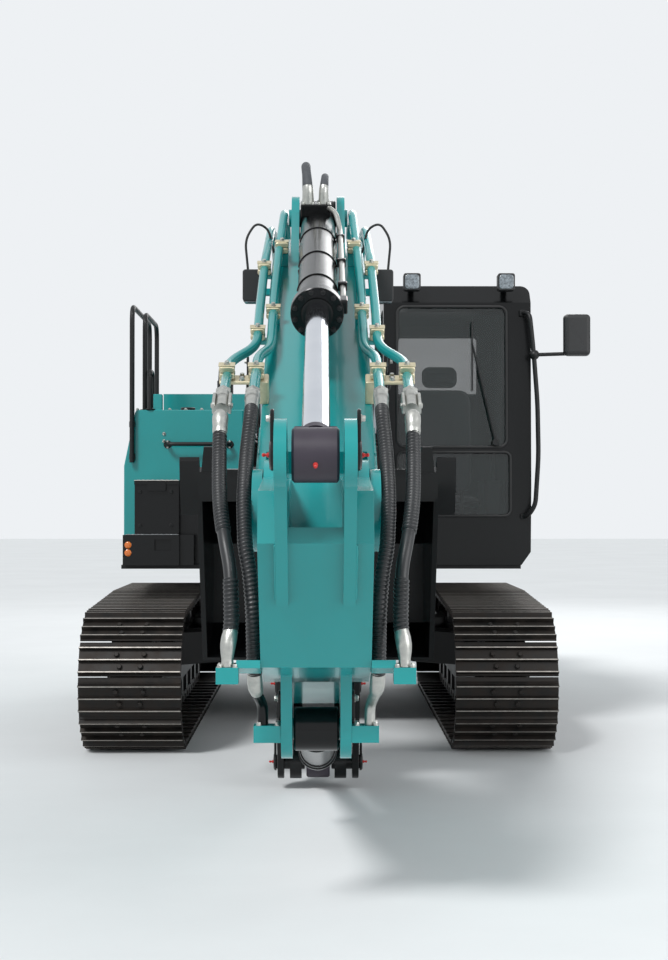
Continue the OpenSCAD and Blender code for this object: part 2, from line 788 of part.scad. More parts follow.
module housing() {
    color(TEAL) {
        // Front bulkhead behind the cab, rear posts and the fixed panels
        block([cab_x0, cab_y1 + 40, deck_top + seat], [half_w - 80, cab_y1 + 72, hood_z - 58]);
        for (s = [-1, 1])
            block([s * 1332.5 - 17.5, 2000, deck_top + seat], [s * 1332.5 + 17.5, 2215, hood_z - 60]);
        // Posts at the side doors, and the knuckles that carry them
        for (q = [[1, left_y - 46], [-1, right_y - 46], [1, door_end + 8]]) {
            x = q[0] * (half_w - 40);
            block([x - 40, q[1], deck_top + seat], [x + 40, q[1] + 38, hood_z - 59]);
        }
        for (z = [1330, 1900]) {
            knuckle(-1, half_w, right_y - 6, -36, z);
            knuckle(1, half_w, door_end + 6, 36, z);
        }
        // Shelf behind the boom and the walls beside it
        block([-520, 800, 1330], [cab_x0, 830, hood_z - 59]);
        // Fixed cover over the pumps
        block([-half_w + 5, 660, hood_z - 60], [-520, 2215, hood_z - 20]);
        // Cover before the bonnet
        block([-half_w + 5, 671, hood_z - 60], [-519, 1000, hood_z - 20]);
        block([-519, 671, hood_z - 59], [half_w - 5, 1010 - seat, hood_z + 59]);
        for (s = [-1, 1])
            block([s * 1300 - 50, 1000, hood_z - 60], [s * 1300 + 50, 2215, hood_z - 40]);
    }
    color(BLACK) {
        // Raised cover over the pumps, round the exhaust
        difference() {
            block([-half_w + 155, 1010, hood_z - 21], [-510, 2200, cover_z]);
            block([-half_w + 185, 1040, hood_z - 21], [-540, 2170, cover_z - 30]);
            translate([-760, 1600, hood_z])
                cylinder(d = 170, h = 500);
        }
        // Fixed knuckles of the bonnet
        for (x = [-390, 990]) {
            bar(bonnet_axis, 22, 60, x + 30);
            block([x, 990, hood_z + 58], [x + 60, 1006, hood_z + 72]);
        }
    }
}

// Axis of the bonnet's hinge, in (y, z)
bonnet_axis = [998, hood_z + 72];

module bonnet() {
    color(BLACK) {
        difference() {
            block([-500, 1010, hood_z - 36], [1240, 2200, cover_z]);
            block([-470, 1040, hood_z - 60], [1210, 2170, cover_z - 30]);
            // Slots for the air, toward the rear
            for (i = [0:8])
                block([-330 + i * 170, 1900, cover_z - 60], [-220 + i * 170, 1930, cover_z + 10]);
        }
        for (x = [-320, 920]) {
            bar(bonnet_axis, 22, 60, x + 30);
            block([x, 998, hood_z + 66], [x + 60, 1011, hood_z + 78]);
        }
    }
}

module side_door(side, y0, y1) {
    x = side * (half_w - panel_t / 2);
    color(TEAL)
        difference() {
            block([x - panel_t / 2, y0, deck_top + 6], [x + panel_t / 2, y1, hood_z - 70]);
            // Slots for the air
            for (i = [0:7])
                let (z = 1480 + i * 60)
                block([x - panel_t, y0 + 150, z], [x + panel_t, y1 - 150, z + 22]);
        }
}

// Leaf and knuckle of an upright hinge on a face at x, its leaf reaching r along Y
module knuckle(side, x, y, r, z) {
    translate([side * (x + 11.5), y, z])
        cylinder(d = 22, h = 40);
    block([min(side * (x + seat), side * (x + 8)), min(y, y + r), z],
        [max(side * (x + seat), side * (x + 8)), max(y, y + r), z + 40]);
}

left_y = cab_y1 + 80;
right_y = 690;
door_end = 1990;

// Hung at its rear, clear of the cab's door
module left_door() {
    side_door(1, left_y, door_end);
    color(TEAL)
        for (z = [1370, 1940])
            knuckle(1, half_w, door_end + 6, -60, z + seat);
}

module right_door() {
    side_door(-1, right_y, door_end);
    color(TEAL)
        for (z = [1370, 1940])
            knuckle(-1, half_w, right_y - 6, 60, z + seat);
}

module exhaust() {
    color(BLACK) {
        translate([-760, 1600, hood_z - 20 + seat])
            cylinder(d = 130, h = 360);
        rod([-760, 1600, hood_z + 310], [-760, 1720, hood_z + 440], 120);
    }
}

// Corners of the boom's top plate about its foot pin, from the foot to the nose, in (y, z)
BOOM_TOP = [[-40, 140], [-900, 640], [-1900, 1030], [-2500, 1175], [-3050, 1130], [-3600, 890],
    [-5350, -110]];

// Widths over the boom's foot and over the fork at its tip
foot_w = 480;
tip_w = 462;

// Side outline of the boom's box
module boom_side() {
    polygon(concat(BOOM_TOP, [[-5400, -210], [-5180, -250], [-4200, 30], [-3200, 300], [-2600, 330],
        [-1800, 250], [0, -140]]));
}

// The point a share t along side i of the top plate, lifted by h, and the plate's slope there
function on_top(i, t, h) =
    let (a = BOOM_TOP[i], b = BOOM_TOP[i + 1], e = (b - a) / norm(b - a))
    a + t * (b - a) + h * [e[1], -e[0]];
function slope(i) = angle(BOOM_TOP[i + 1], BOOM_TOP[i]);

module boom() {
    color(TEAL)
        at(foot) {
            difference() {
                union() {
                    across(boom_w)
                        boom_side();
                    bar([0, 0], 290, foot_w);
                    bar(boom_rod_pin, 230, 2 * (boom_cyl_x - 62));
                    // Fork at the tip
                    for (s = [-1, 1])
                        across(tip_w / 2 - 194, s * (tip_w / 4 + 97))
                            union() {
                                polygon([[-5000, 60], [-5350, -130], [-5560, -150], [-5690, -190],
                                    [-5720, -330], [-5600, -410], [-5450, -390], [-5000, -200]]);
                                circle_at(boom_tip, 150);
                            }
                    // Lugs of the arm cylinder
                    for (x = [-115, 115])
                        across(40, x)
                            union() {
                                polygon([[-2750, 1000], [-3010, 1290], [-3190, 1290], [-3560, 850]]);
                                circle_at(arm_cyl_pin, 110);
                            }
                }
                bar([0, 0], 112, foot_w + 60);
                bar(arm_cyl_pin, arm_pin + 2, 400);
                bar(boom_tip, 102, 600);
                // Room between the fork's plates
                across(388)
                    circle_at(boom_tip, 430);
            }
            // Pins
            bar(boom_tip, 100, tip_w + 40);
            bar(arm_cyl_pin, arm_pin, 300);
            bar(boom_rod_pin, boom_pin, 2 * (boom_cyl_x - 52));
        }
}

// Ways of the steel pipes beside the centre line: place across from the box's side, side of the top
// plate, share along it, height over it
INNER = [[-35, 0, 0.75, 60], [-35, 1, 0, 60], [-45, 2, 0, 80], [-45, 3, 0, 140], [-45, 4, 0, 140],
    [-30, 5, 0, 80], [-21, 5, 0.25, 55], [-21, 5, 0.52, 60], [27, 5, 0.6, 95], [25, 5, 0.96, 216]];
OUTER = [[23, 0, 0.75, 50], [23, 1, 0, 50], [23, 2, 0, 50], [23, 3, 0, 60], [23, 4, 0, 50], [35, 5, 0, 50],
    [41, 5, 0.3, 50], [41, 5, 0.5, 50], [148, 5, 0.6, 70], [138, 5, 0.96, 216]];
function way(list) = [for (q = list)
    let (p = on_top(q[1], q[2], q[3]))
    [boom_w / 2 + q[0], p[0], p[1]]];
// Place where the pipes end and the hoses begin
pipe_end = on_top(5, 0.967, 216);

// A clamp round a pipe at x, on side i of the top plate; its foot reaches from x0 to x1
module clamp(x, i, t, h, x0, x1) {
    p = on_top(i, t, 0);
    at(p, slope(i)) {
        block([x - 30, -22, h - 30], [x + 30, 22, h + 27]);
        block([x0, -18, seat], [x1, 18, h - 8]);
    }
}

module boom_pipes() {
    w = boom_w / 2;
    // Steel pipes along the boom's top plate, two on either side
    color(TEAL)
        at(foot)
            both() {
                pipe(concat(way(INNER), [[w + 25, pipe_end[0], pipe_end[1]]]), 42, 90);
                pipe(concat(way(OUTER), [[w + 138, pipe_end[0], pipe_end[1]]]), 42, 90);
            }
    // Clamps
    color(STEEL)
        at(foot)
            both() {
                clamp(w - 45, 4, 0.87, 95, w - 75, w - 15);
                clamp(w - 21, 5, 0.32, 56, w - 51, w - 1);
                clamp(w + 36, 5, 0.05, 50, w - 25, w + 40);
                clamp(w + 41, 5, 0.43, 50, w - 25, w + 45);
                // Nose clamps, on one bracket
                at(on_top(5, 0.711, 0), slope(5)) {
                    for (x = [w + 26.5, w + 145])
                        block([x - 32, -22, 100], [x + 32, 22, 162]);
                    block([w - 25, -40, seat], [w + 20, 40, 101]);
                    block([w - 5, -30, 84], [w + 177, 30, 101]);
                }
            }
    // Pipes and head of the arm cylinder's hoses
    color(TEAL)
        at(foot)
            both()
                pipe([for (q = [[0, 0.8], [1, 0], [2, 0], [3, 0], [3, 0.3]])
                    let (p = on_top(q[0], q[1], 30))
                    [60, p[0], p[1]]], 36, 120);
    color(STEEL)
        at(foot)
            at(on_top(3, 0.33, 0), slope(3))
                block([-110, -30, seat], [110, 30, 62]);
}

module boom_lamps() {
    color(DARK)
        at(foot)
            both() {
                round_shell([286, -3395, 765], [376, -3305, 925], 15);
                block([boom_w / 2 + seat, -3370, 800], [290, -3330, 830]);
            }
}

// A cylinder's barrel, base pin at the origin, rod end toward +Y, its flange wider by rim
module barrel(size, eye_w, pin_d, rim = 14) {
    l = size[0];
    d = size[1];
    r = size[2];
    difference() {
        union() {
            bar([0, 0], d + 10, eye_w);
            block([-eye_w / 2, 0, -d / 2 + 12], [eye_w / 2, 130, d / 2 - 12]);
            translate([0, 102, 0])
                rotate([-90, 0, 0])
                    cylinder(d = d, h = l - 102);
            translate([0, l - 110, 0])
                rotate([-90, 0, 0])
                    cylinder(d = d + 14, h = 100);
            translate([0, l - 70, 0])
                rotate([-90, 0, 0])
                    cylinder(d = d + rim, h = 70);
        }
        bar([0, 0], pin_d + 2, eye_w + 20);
        translate([0, 150, 0])
            rotate([-90, 0, 0])
                cylinder(d = r + 1, h = l);
    }
}

// A cylinder's rod with its eye at the origin, reaching l toward -Y
module piston_rod(l, d, eye_d, eye_w) {
    bar([0, 0], eye_d, eye_w);
    translate([0, -l, 0])
        rotate([-90, 0, 0])
            cylinder(d = d, h = l - eye_d / 2 + 15);
}

boom_base = boom_cyl_base;
boom_end = foot + boom_rod_pin;
arm_base = foot + arm_cyl_pin;
arm_end = on_arm(arm_rod_pin);
bucket_base = on_arm(bucket_cyl_pin);
bucket_end = knee_at;

module boom_barrels()
    color(BLACK)
        for (x = [-boom_cyl_x, boom_cyl_x])
            translate([x, 0, 0])
                at(boom_base, angle(boom_base, boom_end))
                    barrel(boom_cyl, 88, boom_pin);

// Each rod carries its end of the pin, as its eye may drift from the boom's boss
module boom_rods()
    color(STEEL)
        for (s = [-1, 1])
            translate([s * boom_cyl_x, 0, 0])
                at(boom_end, angle(boom_base, boom_end)) {
                    piston_rod(norm(boom_end - boom_base) - 581, boom_cyl[2], 150, 88);
                    bar([0, 0], boom_pin, 102, s * 7);
                }

// Top of the port block on the arm cylinder's barrel, from its base pin
port_at = [255, -130];

module arm_barrel()
    color(BLACK)
        at(arm_base, angle(arm_base, arm_end)) {
            barrel(arm_cyl, 180, arm_pin, 50);
            block([-85, 215, -130], [65, 295, -60]);
        }

// Hoses from the head on the boom's top to the port block on the arm cylinder's barrel
module barrel_hoses() {
    start = foot + on_top(3, 0.33, 63);
    a = angle(arm_base, arm_end);
    end = arm_base + turn(port_at - [0, 1], a);
    over = arm_base + turn(port_at - [0, 90], a);
    color(BLACK)
        for (q = [[-62, 0], [35, -55]])
            pipe([[q[0], start[0], start[1]], [q[0], start[0] - 10, start[1] + 125 + q[1] / 2],
                [q[0], start[0] - 160, start[1] + 255 + q[1]], [q[0], start[0] - 380, start[1] + 285 + q[1]],
                [q[0], over[0] + 90, over[1] + 110 + q[1]], [q[0] * 0.8, over[0], over[1]],
                [q[0] * 0.8, end[0], end[1]]], 44, 120);
}

module arm_rod()
    color(STEEL)
        at(arm_end, angle(arm_base, arm_end))
            piston_rod(norm(arm_end - arm_base) - 1672, arm_cyl[2], 175, 150);

// Width of the arm's root, inside the boom's fork
root_w = 376;

module arm() {
    end = arm_l - link_back;
    color(TEAL)
        at(tip_at, -arm_tilt)
            difference() {
                union() {
                    // Box: side outline, and plan with its wider root
                    intersection() {
                        across(root_w)
                            polygon([[-60, 120], [350, 115], [end, 80], [arm_l, 95], [arm_l + 85, 40],
                                [arm_l + 85, -60], [arm_l, -105], [end, -150], [900, -400], [150, -600],
                                [-205, -632], [-640, -330], [-640, -150], [-450, -60]]);
                        translate([0, 0, -900])
                            linear_extrude(1200)
                                for (s = [-1, 1])
                                    polygon([[-s, -700], [s * root_w / 2, -700], [s * root_w / 2, 350],
                                        [s * arm_w / 2, 650], [s * arm_w / 2, arm_l + 100],
                                        [-s, arm_l + 100]]);
                    }
                    bar([0, 0], 260, root_w);
                    // Rounded tops of the root's side plates
                    for (s = [-1, 1])
                        across(38, s * (root_w / 2 - 19))
                            circle_at([0, 0], 185);
                    bar([arm_l, 0], 200, 300);
                    // Ears of the arm cylinder's rod, running out down the root's face
                    for (x = [-110, 110])
                        across(40, x)
                            union() {
                                polygon([[-400, -460], [-455, -488], [-690, -330], [-860, -200], [-900, -60],
                                    [-780, 0], [-500, -60]]);
                                circle_at(arm_rod_pin, 115);
                            }
                    // Lugs of the bucket cylinder
                    for (x = [-105, 105])
                        across(40, x)
                            union() {
                                polygon([[-100, -480], [120, -820], [290, -820], [520, -440]]);
                                circle_at(bucket_cyl_pin, 105);
                            }
                }
                bar([0, 0], 102, 400);
                bar([arm_l, 0], 92, 400);
                bar(bucket_cyl_pin, bucket_pin + 2, 400);
                // Room for the eye of the arm cylinder's rod
                block([-88, -1000, -275], [88, -285, 300]);
                bar(link_pin, 82, 400);
            }
    color(STEEL)
        at(tip_at, -arm_tilt) {
            bar(bucket_cyl_pin, bucket_pin, 250);
            bar(link_pin, 80, 420);
        }
}

// Places on the arm where the outer and the inner hoses end
outer_end = [-200, -657];
inner_end = [139, -788];

module arm_blocks()
    color(TEAL)
        both() {
            // Outer block, on a shelf of the root's side
            at(on_arm(outer_end))
                block([262, -32, -28], [338, 32, 28]);
            at(tip_at, -arm_tilt)
                block([root_w / 2 + seat, -230, -640], [270, -150, -612]);
            // Inner block, on the side of the bucket cylinder's lug
            at(on_arm(inner_end))
                block([125 + seat, -35, -30], [222, 35, 30]);
        }

module bucket_barrel()
    color(BLACK)
        at(bucket_base, angle(bucket_base, bucket_end))
            barrel(bucket_cyl, 160, bucket_pin, 30);

module bucket_rod()
    color(STEEL)
        at(bucket_end, angle(bucket_base, bucket_end))
            piston_rod(norm(bucket_end - bucket_base) - 1368, bucket_cyl[2], 160, 120);

module link_plate(p, q, d0, d1, w, x)
    across(w, x)
        hull() {
            circle_at(p, d0 / 2);
            circle_at(q, d1 / 2);
        }

module side_links() {
    color(BLACK)
        for (x = [-192, 192])
            difference() {
                link_plate(side_at, knee_at, 150, 170, 34, x);
                bar(side_at, 82, 60, x);
                bar(knee_at, 78, 60, x);
            }
    // Halves of the pin, either side of the rod's eye
    color(STEEL)
        for (x = [-142, 142])
            bar(knee_at, bucket_pin, 146, x);
}

module push_link() {
    color(BLACK)
        difference() {
            union() {
                for (x = [-115, 115])
                    link_plate(knee_at, ear_at, 170, 150, 60, x);
                bar(ear_at, 150, 290);
            }
            bar(knee_at, bucket_pin + 2, 400);
        }
}

// Bucket in its own frame: pin at the origin, tooth tips at [tip_r, 0], back at -Z
BACK = [[135, -40], [75, -300], [90, -470], [260, -640], [470, -730], [700, -700], [900, -560], [1180, -40]];

module bucket() {
    g = turn([ear_l, 0], -ear_a);
    color(BLACK)
        at(bucket_at, tooth_a) {
            difference() {
                union() {
                    difference() {
                        across(bucket_w)
                            polygon(concat([[145, 8]], BACK, [[1120, 30]]));
                        across(bucket_w - 2 * 25)
                            offset(delta = -25)
                                polygon(concat([[145, 400]], BACK, [[1120, 400]]));
                    }
                    // Ears
                    for (x = [-181, 181])
                        across(44, x)
                            union() {
                                polygon([[0, 112], [90, 60], [146, -34], [90, -300], [102, -460],
                                    [-60, -440], [-130, -60]]);
                                circle_at([0, 0], 112);
                                hull() {
                                    circle_at(g, 85);
                                    translate([40, -250])
                                        circle(r = 90);
                                }
                            }
                    // Wear plates round the ears' feet
                    across(420)
                        polygon([[70, -330], [72, -440], [100, -480], [60, -478], [48, -330]]);
                }
                bar([0, 0], 92, 600);
            }
            // Cutting edge
            across(bucket_w)
                polygon([[1060, 34], [1150, 24], [1215, -8], [1205, -40], [1080, -72]]);
            // Side cutters
            for (s = [-1, 1])
                across(97, s * (bucket_w / 2 + 33.5))
                    polygon([[985, -52], [985, 30], [1150, 42], [1268, 14], [1282, -6], [1160, -58]]);
            // Teeth: adapter and point
            for (i = [0:4]) {
                x = (i - 2) * (bucket_w - 130) / 4;
                across(116, x)
                    polygon([[1080, 52], [1190, 42], [1216, 26], [1216, -36], [1190, -62], [1090, -92]]);
                intersection() {
                    across(100, x)
                        polygon([[1150, 34], [tip_r, 6], [tip_r, -6], [1150, -46]]);
                    translate([x, 0, -200])
                        linear_extrude(400)
                            polygon([[-48, 1150], [48, 1150], [26, tip_r], [-26, tip_r]]);
                }
            }
            bar([0, 0], 90, 420);
            for (x = [-182, 182])
                bar(g, 90, 62, x);
        }
}

// Ways of the hoses from the boom's pipes to the blocks on the arm: across, along Y, height
OUTER_HOSE = [[358, -5560, 1800], [356, -5650, 1668], [347, -5800, 1527], [335, -5900, 1435],
    [315, -5980, 1338], [295, -6020, 1250], [287, -6080, 1060]];
INNER_HOSE = [[256, -5650, 1668], [258, -5850, 1481], [246, -5980, 1321], [228, -6020, 1239],
    [216, -6040, 1110], [216, -5950, 902], [214, -5910, 822]];

module arm_hoses() {
    w = boom_w / 2;
    top = foot + pipe_end - turn([1, 0], slope(5));
    next = foot + pipe_end - turn([50, 0], slope(5));
    low = on_arm(outer_end);
    in = on_arm(inner_end);
    color(BLACK)
        both() {
            pipe(concat([[w + 138, top[0], top[1]], [w + 138, next[0], next[1]]], OUTER_HOSE,
                [[300, low[0], low[1] + 95], [300, low[0], low[1] + 29]]), 48, 120);
            pipe(concat([[w + 25, top[0], top[1]], [w + 25, next[0], next[1]]], INNER_HOSE,
                [[190, in[0], in[1] + 100], [190, in[0], in[1] + 31]]), 48, 120);
        }
}

car_body();
track_frame(1);  // track_frame_left
track_frame(-1);  // track_frame_right
track(1);  // track_left
track(-1);  // track_right
idler(1);  // idler_left
idler(-1);  // idler_right
sprocket(1);  // sprocket_left
sprocket(-1);  // sprocket_right
rollers(1);  // rollers_left
rollers(-1);  // rollers_right
revolving_frame();
counterweight();
engine();
cooler();
valve_block();
cab();
cab_glass();
cab_door();
door_glass();
operator_chair();
console();
fuel_tank();
tool_box();
tool_box_lid();
handrails();
mirror_arm();  // mirror
cab_lamps();
housing();
bonnet();
left_door();
right_door();
exhaust();
boom();
boom_pipes();
boom_lamps();
boom_barrels();
boom_rods();
arm_barrel();
arm_rod();
arm();
arm_blocks();
bucket_barrel();
bucket_rod();
side_links();
push_link();
bucket();
arm_hoses();
barrel_hoses();
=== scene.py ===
"""A 20 tonne crawler excavator, parked with its arm and bucket tucked in, seen from the front.

Metres, row frame: the machine faces -Y, +X is its left side, +Z is up, and the ground is z = 0.
"""
import json
import math

import bmesh
import bpy
import numpy as np
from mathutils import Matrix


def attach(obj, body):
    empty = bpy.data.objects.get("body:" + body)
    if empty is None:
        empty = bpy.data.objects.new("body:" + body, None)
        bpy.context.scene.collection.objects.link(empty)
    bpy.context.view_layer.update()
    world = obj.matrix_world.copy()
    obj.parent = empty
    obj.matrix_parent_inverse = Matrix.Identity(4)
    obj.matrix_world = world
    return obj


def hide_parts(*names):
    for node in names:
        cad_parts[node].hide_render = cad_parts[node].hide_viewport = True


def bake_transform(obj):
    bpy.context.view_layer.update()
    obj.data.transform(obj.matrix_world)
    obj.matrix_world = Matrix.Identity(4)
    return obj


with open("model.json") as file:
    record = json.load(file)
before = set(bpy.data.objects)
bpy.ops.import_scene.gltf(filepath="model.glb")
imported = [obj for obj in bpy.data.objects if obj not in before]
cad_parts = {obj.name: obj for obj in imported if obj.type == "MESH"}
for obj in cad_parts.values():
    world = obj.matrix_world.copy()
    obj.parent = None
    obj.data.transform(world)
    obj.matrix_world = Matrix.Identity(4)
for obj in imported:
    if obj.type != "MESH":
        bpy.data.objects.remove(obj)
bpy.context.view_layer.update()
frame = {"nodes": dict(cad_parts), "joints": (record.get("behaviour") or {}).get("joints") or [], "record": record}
scene = bpy.context.scene
TURN = 2 * math.pi
X, Y, Z = np.eye(3)

# Camera
CAMERA_PLACE = (0.02, -11.7, 1.47)
# The photograph's height, focal length, point straight ahead of the level camera and middle, in pixels
FRAME_H = 960
FOCAL_PX = 1650
VANISHING_PX = (322, 505)
CENTRE_PX = (334, 480)


def photo_camera():
    """Camera in front of the machine, with the photograph's perspective."""
    data = bpy.data.cameras.new("photo_camera")
    data.sensor_fit = "VERTICAL"
    data.sensor_height = 24
    data.lens = FOCAL_PX / FRAME_H * data.sensor_height
    camera = bpy.data.objects.new("photo_camera", data)
    scene.collection.objects.link(camera)
    camera.location = CAMERA_PLACE
    pitch = math.atan2(VANISHING_PX[1] - CENTRE_PX[1], FOCAL_PX)
    yaw = math.atan2(CENTRE_PX[0] - VANISHING_PX[0], FOCAL_PX)
    camera.rotation_euler = (math.pi / 2 + pitch, 0, -yaw)
    scene.camera = camera


photo_camera()

# Places of the pins in (y, z), from the joints
PIN = {j["name"]: np.array(j["pos_m"][1:]) for j in frame["joints"] if "pos_m" in j}
FOOT, TIP, BUCKET_PIN = PIN["boom_lift"], PIN["arm_in"], PIN["bucket_curl"]
KNEE, SIDE_PIN = PIN["push_link_turn"], PIN["side_links_turn"]


def unit(v):
    """v at length 1, along its last axis."""
    v = np.asarray(v, float)
    return v / np.linalg.norm(v, axis=-1, keepdims=True)


# Directions along the parked arm and square to it
ARM_ALONG = unit(BUCKET_PIN - TIP)
ARM_ABOVE = np.array([-ARM_ALONG[1], ARM_ALONG[0]])


def on_arm(along, above):
    """(y, z) of a point of the arm: along it from its pivot, above its line of pins."""
    return TIP + ARM_ALONG * along + ARM_ABOVE * above


# Corners of the boom's top plate about its foot pin, from the foot to the nose
BOOM_TOP = np.array([(-0.04, 0.14), (-0.9, 0.64), (-1.9, 1.03), (-2.5, 1.175), (-3.05, 1.13), (-3.6, 0.89),
                     (-5.35, -0.11)])
BOOM_W = 0.44


def on_boom(side, share, lift, x=None):
    """Point a share along a side of the boom's top plate, lifted square to it, as (y, z) or with x."""
    a, b = BOOM_TOP[side], BOOM_TOP[side + 1]
    e = unit(b - a)
    p = FOOT + a + share * (b - a) + lift * np.array([e[1], -e[0]])
    return p if x is None else np.array([x, *p])


def boom_slope(side):
    """Direction along a side of the top plate toward the foot, and the normal out of it, as vectors."""
    e = unit(BOOM_TOP[side] - BOOM_TOP[side + 1])
    return np.array([0, *e]), np.array([0, -e[1], e[0]])


# Shapes, each as (points, faces)


def vec(v):
    """v as an array of floats."""
    return np.asarray(v, float)


def joined(shapes):
    """A list of shapes as one, points stacked and face numbers moved on. A single shape stays as it is."""
    if isinstance(shapes, tuple):
        return shapes
    points, faces, count = [], [], 0
    for p, f in shapes:
        points.append(p)
        faces += [tuple(i + count for i in face) for face in f]
        count += len(p)
    return np.vstack(points), faces


def mirrored(shapes):
    """The shapes and their image across the machine's middle plane, faces turned round again."""
    p, f = joined(shapes)
    return joined([(p, f), (p * [-1, 1, 1], [face[::-1] for face in f])])


def repeated(faces, size, count):
    """The faces of count copies of a shape of size points."""
    return [tuple(i + k * size for i in face) for k in range(count) for face in faces]


def skin(rows, cols):
    """Faces of a grid of points stored row by row, each row a ring: a square between each four
    neighbours, and a many-sided cap on the first and the last row."""
    r, c = np.meshgrid(np.arange(rows - 1), np.arange(cols), indexing="ij")
    n = (c + 1) % cols
    quads = np.stack([r * cols + c, r * cols + n, (r + 1) * cols + n, (r + 1) * cols + c], -1).reshape(-1, 4)
    first, last = tuple(range(cols)), tuple(range((rows - 1) * cols, rows * cols))
    return [*map(tuple, quads.tolist()), first[::-1], last]


def lengths(way):
    """Length along a way from its start to each of its points."""
    return np.concatenate([[0], np.cumsum(np.linalg.norm(np.diff(way, axis=0), axis=1))])


def spaced(way, at):
    """Points of a way at the lengths at along it."""
    s = lengths(way)
    return np.stack([np.interp(at, s, way[:, k]) for k in range(3)], 1)


def rounded_route(points, radius, step=0.02):
    """A line through the points whose corners are quadratic curves starting radius before each corner,
    then divided evenly: place by length along it."""
    points = vec(points)
    out = [points[:1]]
    t = np.linspace(0, 1, 9)[:, None]
    for before, p, after in zip(points[:-2], points[1:-1], points[2:]):
        a, b = before - p, after - p
        r = min(radius, np.linalg.norm(a) * 0.48, np.linalg.norm(b) * 0.48)
        out.append(p + r * ((1 - t) ** 2 * unit(a) + t ** 2 * unit(b)))
    out.append(points[-1:])
    way = np.vstack(out)
    whole = lengths(way)[-1]
    return spaced(way, np.linspace(0, whole, max(2, int(whole / step) + 1)))


def carried(way, section, side=X):
    """A section carried along a way. At each point the section's first coordinate is laid along the
    vector square to the way and to side, its second along the vector square to both.
    section is (columns, 2), or (rows, columns, 2) where it changes."""
    t = unit(np.gradient(way, axis=0))
    u = unit(np.cross(t, side))
    v = np.cross(t, u)
    section = np.broadcast_to(section, (len(way),) + np.shape(section)[-2:])
    p = way[:, None] + section[..., :1] * u[:, None] + section[..., 1:] * v[:, None]
    return p.reshape(-1, 3), skin(len(way), section.shape[1])


def ring(n):
    """n points round a circle of radius 1."""
    a = np.arange(n) / n * TURN
    return np.stack([np.cos(a), np.sin(a)], 1)


def tube(way, radius, n=18, side=X):
    """A round tube: a circle carried along the way, its radius a number or one for each point."""
    radius = np.broadcast_to(radius, (len(way),))
    return carried(way, ring(n) * radius[:, None, None], side)


def turned(profile, centre, axis, n=32):
    """A profile of (radius, height) turned about an axis through centre: each ring has its radius
    about the axis and its height along it."""
    radius, height = vec(profile).T[..., None, None]
    axis = unit(axis)
    u = unit(np.cross(axis, X if abs(axis[0]) < 0.9 else Z))
    c = ring(n)
    p = vec(centre) + radius * (c[:, :1] * u + c[:, 1:] * np.cross(axis, u)) + height * axis
    return p.reshape(-1, 3), skin(len(profile), n)


def bar(r, low, high, centre, axis, n):
    """A round bar about an axis from low to high, its two rims bevelled by 3 mm."""
    return turned([(r - 0.003, low), (r, low + 0.003), (r, high - 0.003), (r - 0.003, high)], centre, axis, n)


def inset(outline, d):
    """A closed outline moved inward by d: each corner along the bisector of its two sides."""
    o = vec(outline)
    a, b = unit(o - np.roll(o, 1, 0)), unit(np.roll(o, -1, 0) - o)
    n = np.stack([-a[:, 1] - b[:, 1], a[:, 0] + b[:, 0]], 1)
    cos = np.clip(1 + (a * b).sum(1), 0.35, 2)[:, None]
    return o + d * n / cos


def loft(outline, heights, insets, origin, u=Y, v=Z):
    """A plate whose outline in the u, v plane (counterclockwise) moves inward by a given inset at each
    height along u x v."""
    p = [vec(origin) + q[:, :1] * u + q[:, 1:] * v + h * np.cross(u, v)
         for q, h in ((inset(outline, d), h) for d, h in zip(insets, heights))]
    return np.vstack(p), skin(len(heights), len(outline))


def slab(outline, low, high, origin=(0, 0, 0), u=Y, v=Z, edge=0.004):
    """A plate: an outline raised along u x v from low to high, both rims bevelled by edge."""
    return loft(outline, (low, low + edge, high - edge, high), (edge, 0, 0, edge), origin, u, v)


def rounded_outline(w, h, r, n=5):
    """A rectangle of w by h about the origin, its corners arcs of radius r with n points each."""
    a = np.linspace(0, math.pi / 2, n)
    arc = np.stack([np.cos(a), np.sin(a)], 1) * r
    turn = np.array([[0, 1], [-1, 0]])
    out = []
    for k, (sx, sy) in enumerate(((1, 1), (-1, 1), (-1, -1), (1, -1))):
        out.append(np.array([sx * (w / 2 - r), sy * (h / 2 - r)]) + arc @ np.linalg.matrix_power(turn, k))
    return np.vstack(out)


def plate(w, h, r, low, high, origin, u=Y, v=Z, edge=0.003):
    """A rectangular plate of w by h, corners rounded by r, raised along u x v from low to high."""
    return slab(rounded_outline(w, h, r), low, high, origin, u, v, edge)


def brick(low, high, edge=0.004):
    """A box between two corners, its upright edges rounded and its rims bevelled by edge."""
    low, high = vec(low), vec(high)
    x, y, z = high - low
    corner = min(edge * 1.5, 0.49 * x, 0.49 * y)
    return plate(x, y, corner, -z / 2, z / 2, (low + high) / 2, X, Y, min(edge, z * 0.3, corner * 0.9))


def hex_heads(places, normal, across, height=0.014):
    """Bolt heads with washers at many places: one hexagon on a round washer, moved to each place."""
    normal = unit(normal)
    r = across / math.sqrt(3)
    washer = turned([(r * 1.25, 0), (r * 1.25, 0.003), (r * 1.1, 0.0035)], (0, 0, 0), normal, 12)
    head = turned([(r, 0.003), (r, 0.003 + height * 0.8), (r * 0.82, 0.003 + height)], (0, 0, 0), normal, 6)
    p, f = joined([washer, head])
    places = vec(places).reshape(-1, 1, 3)
    return (places + p).reshape(-1, 3), repeated(f, len(p), len(places))


def nipple(place, normal):
    """Grease nipple: a small turned body with a waist and a ball end."""
    return turned([(0.008, 0), (0.008, 0.006), (0.005, 0.008), (0.0045, 0.014), (0.0062, 0.017),
                   (0.0062, 0.02), (0.003, 0.0235)], place, normal, 12)


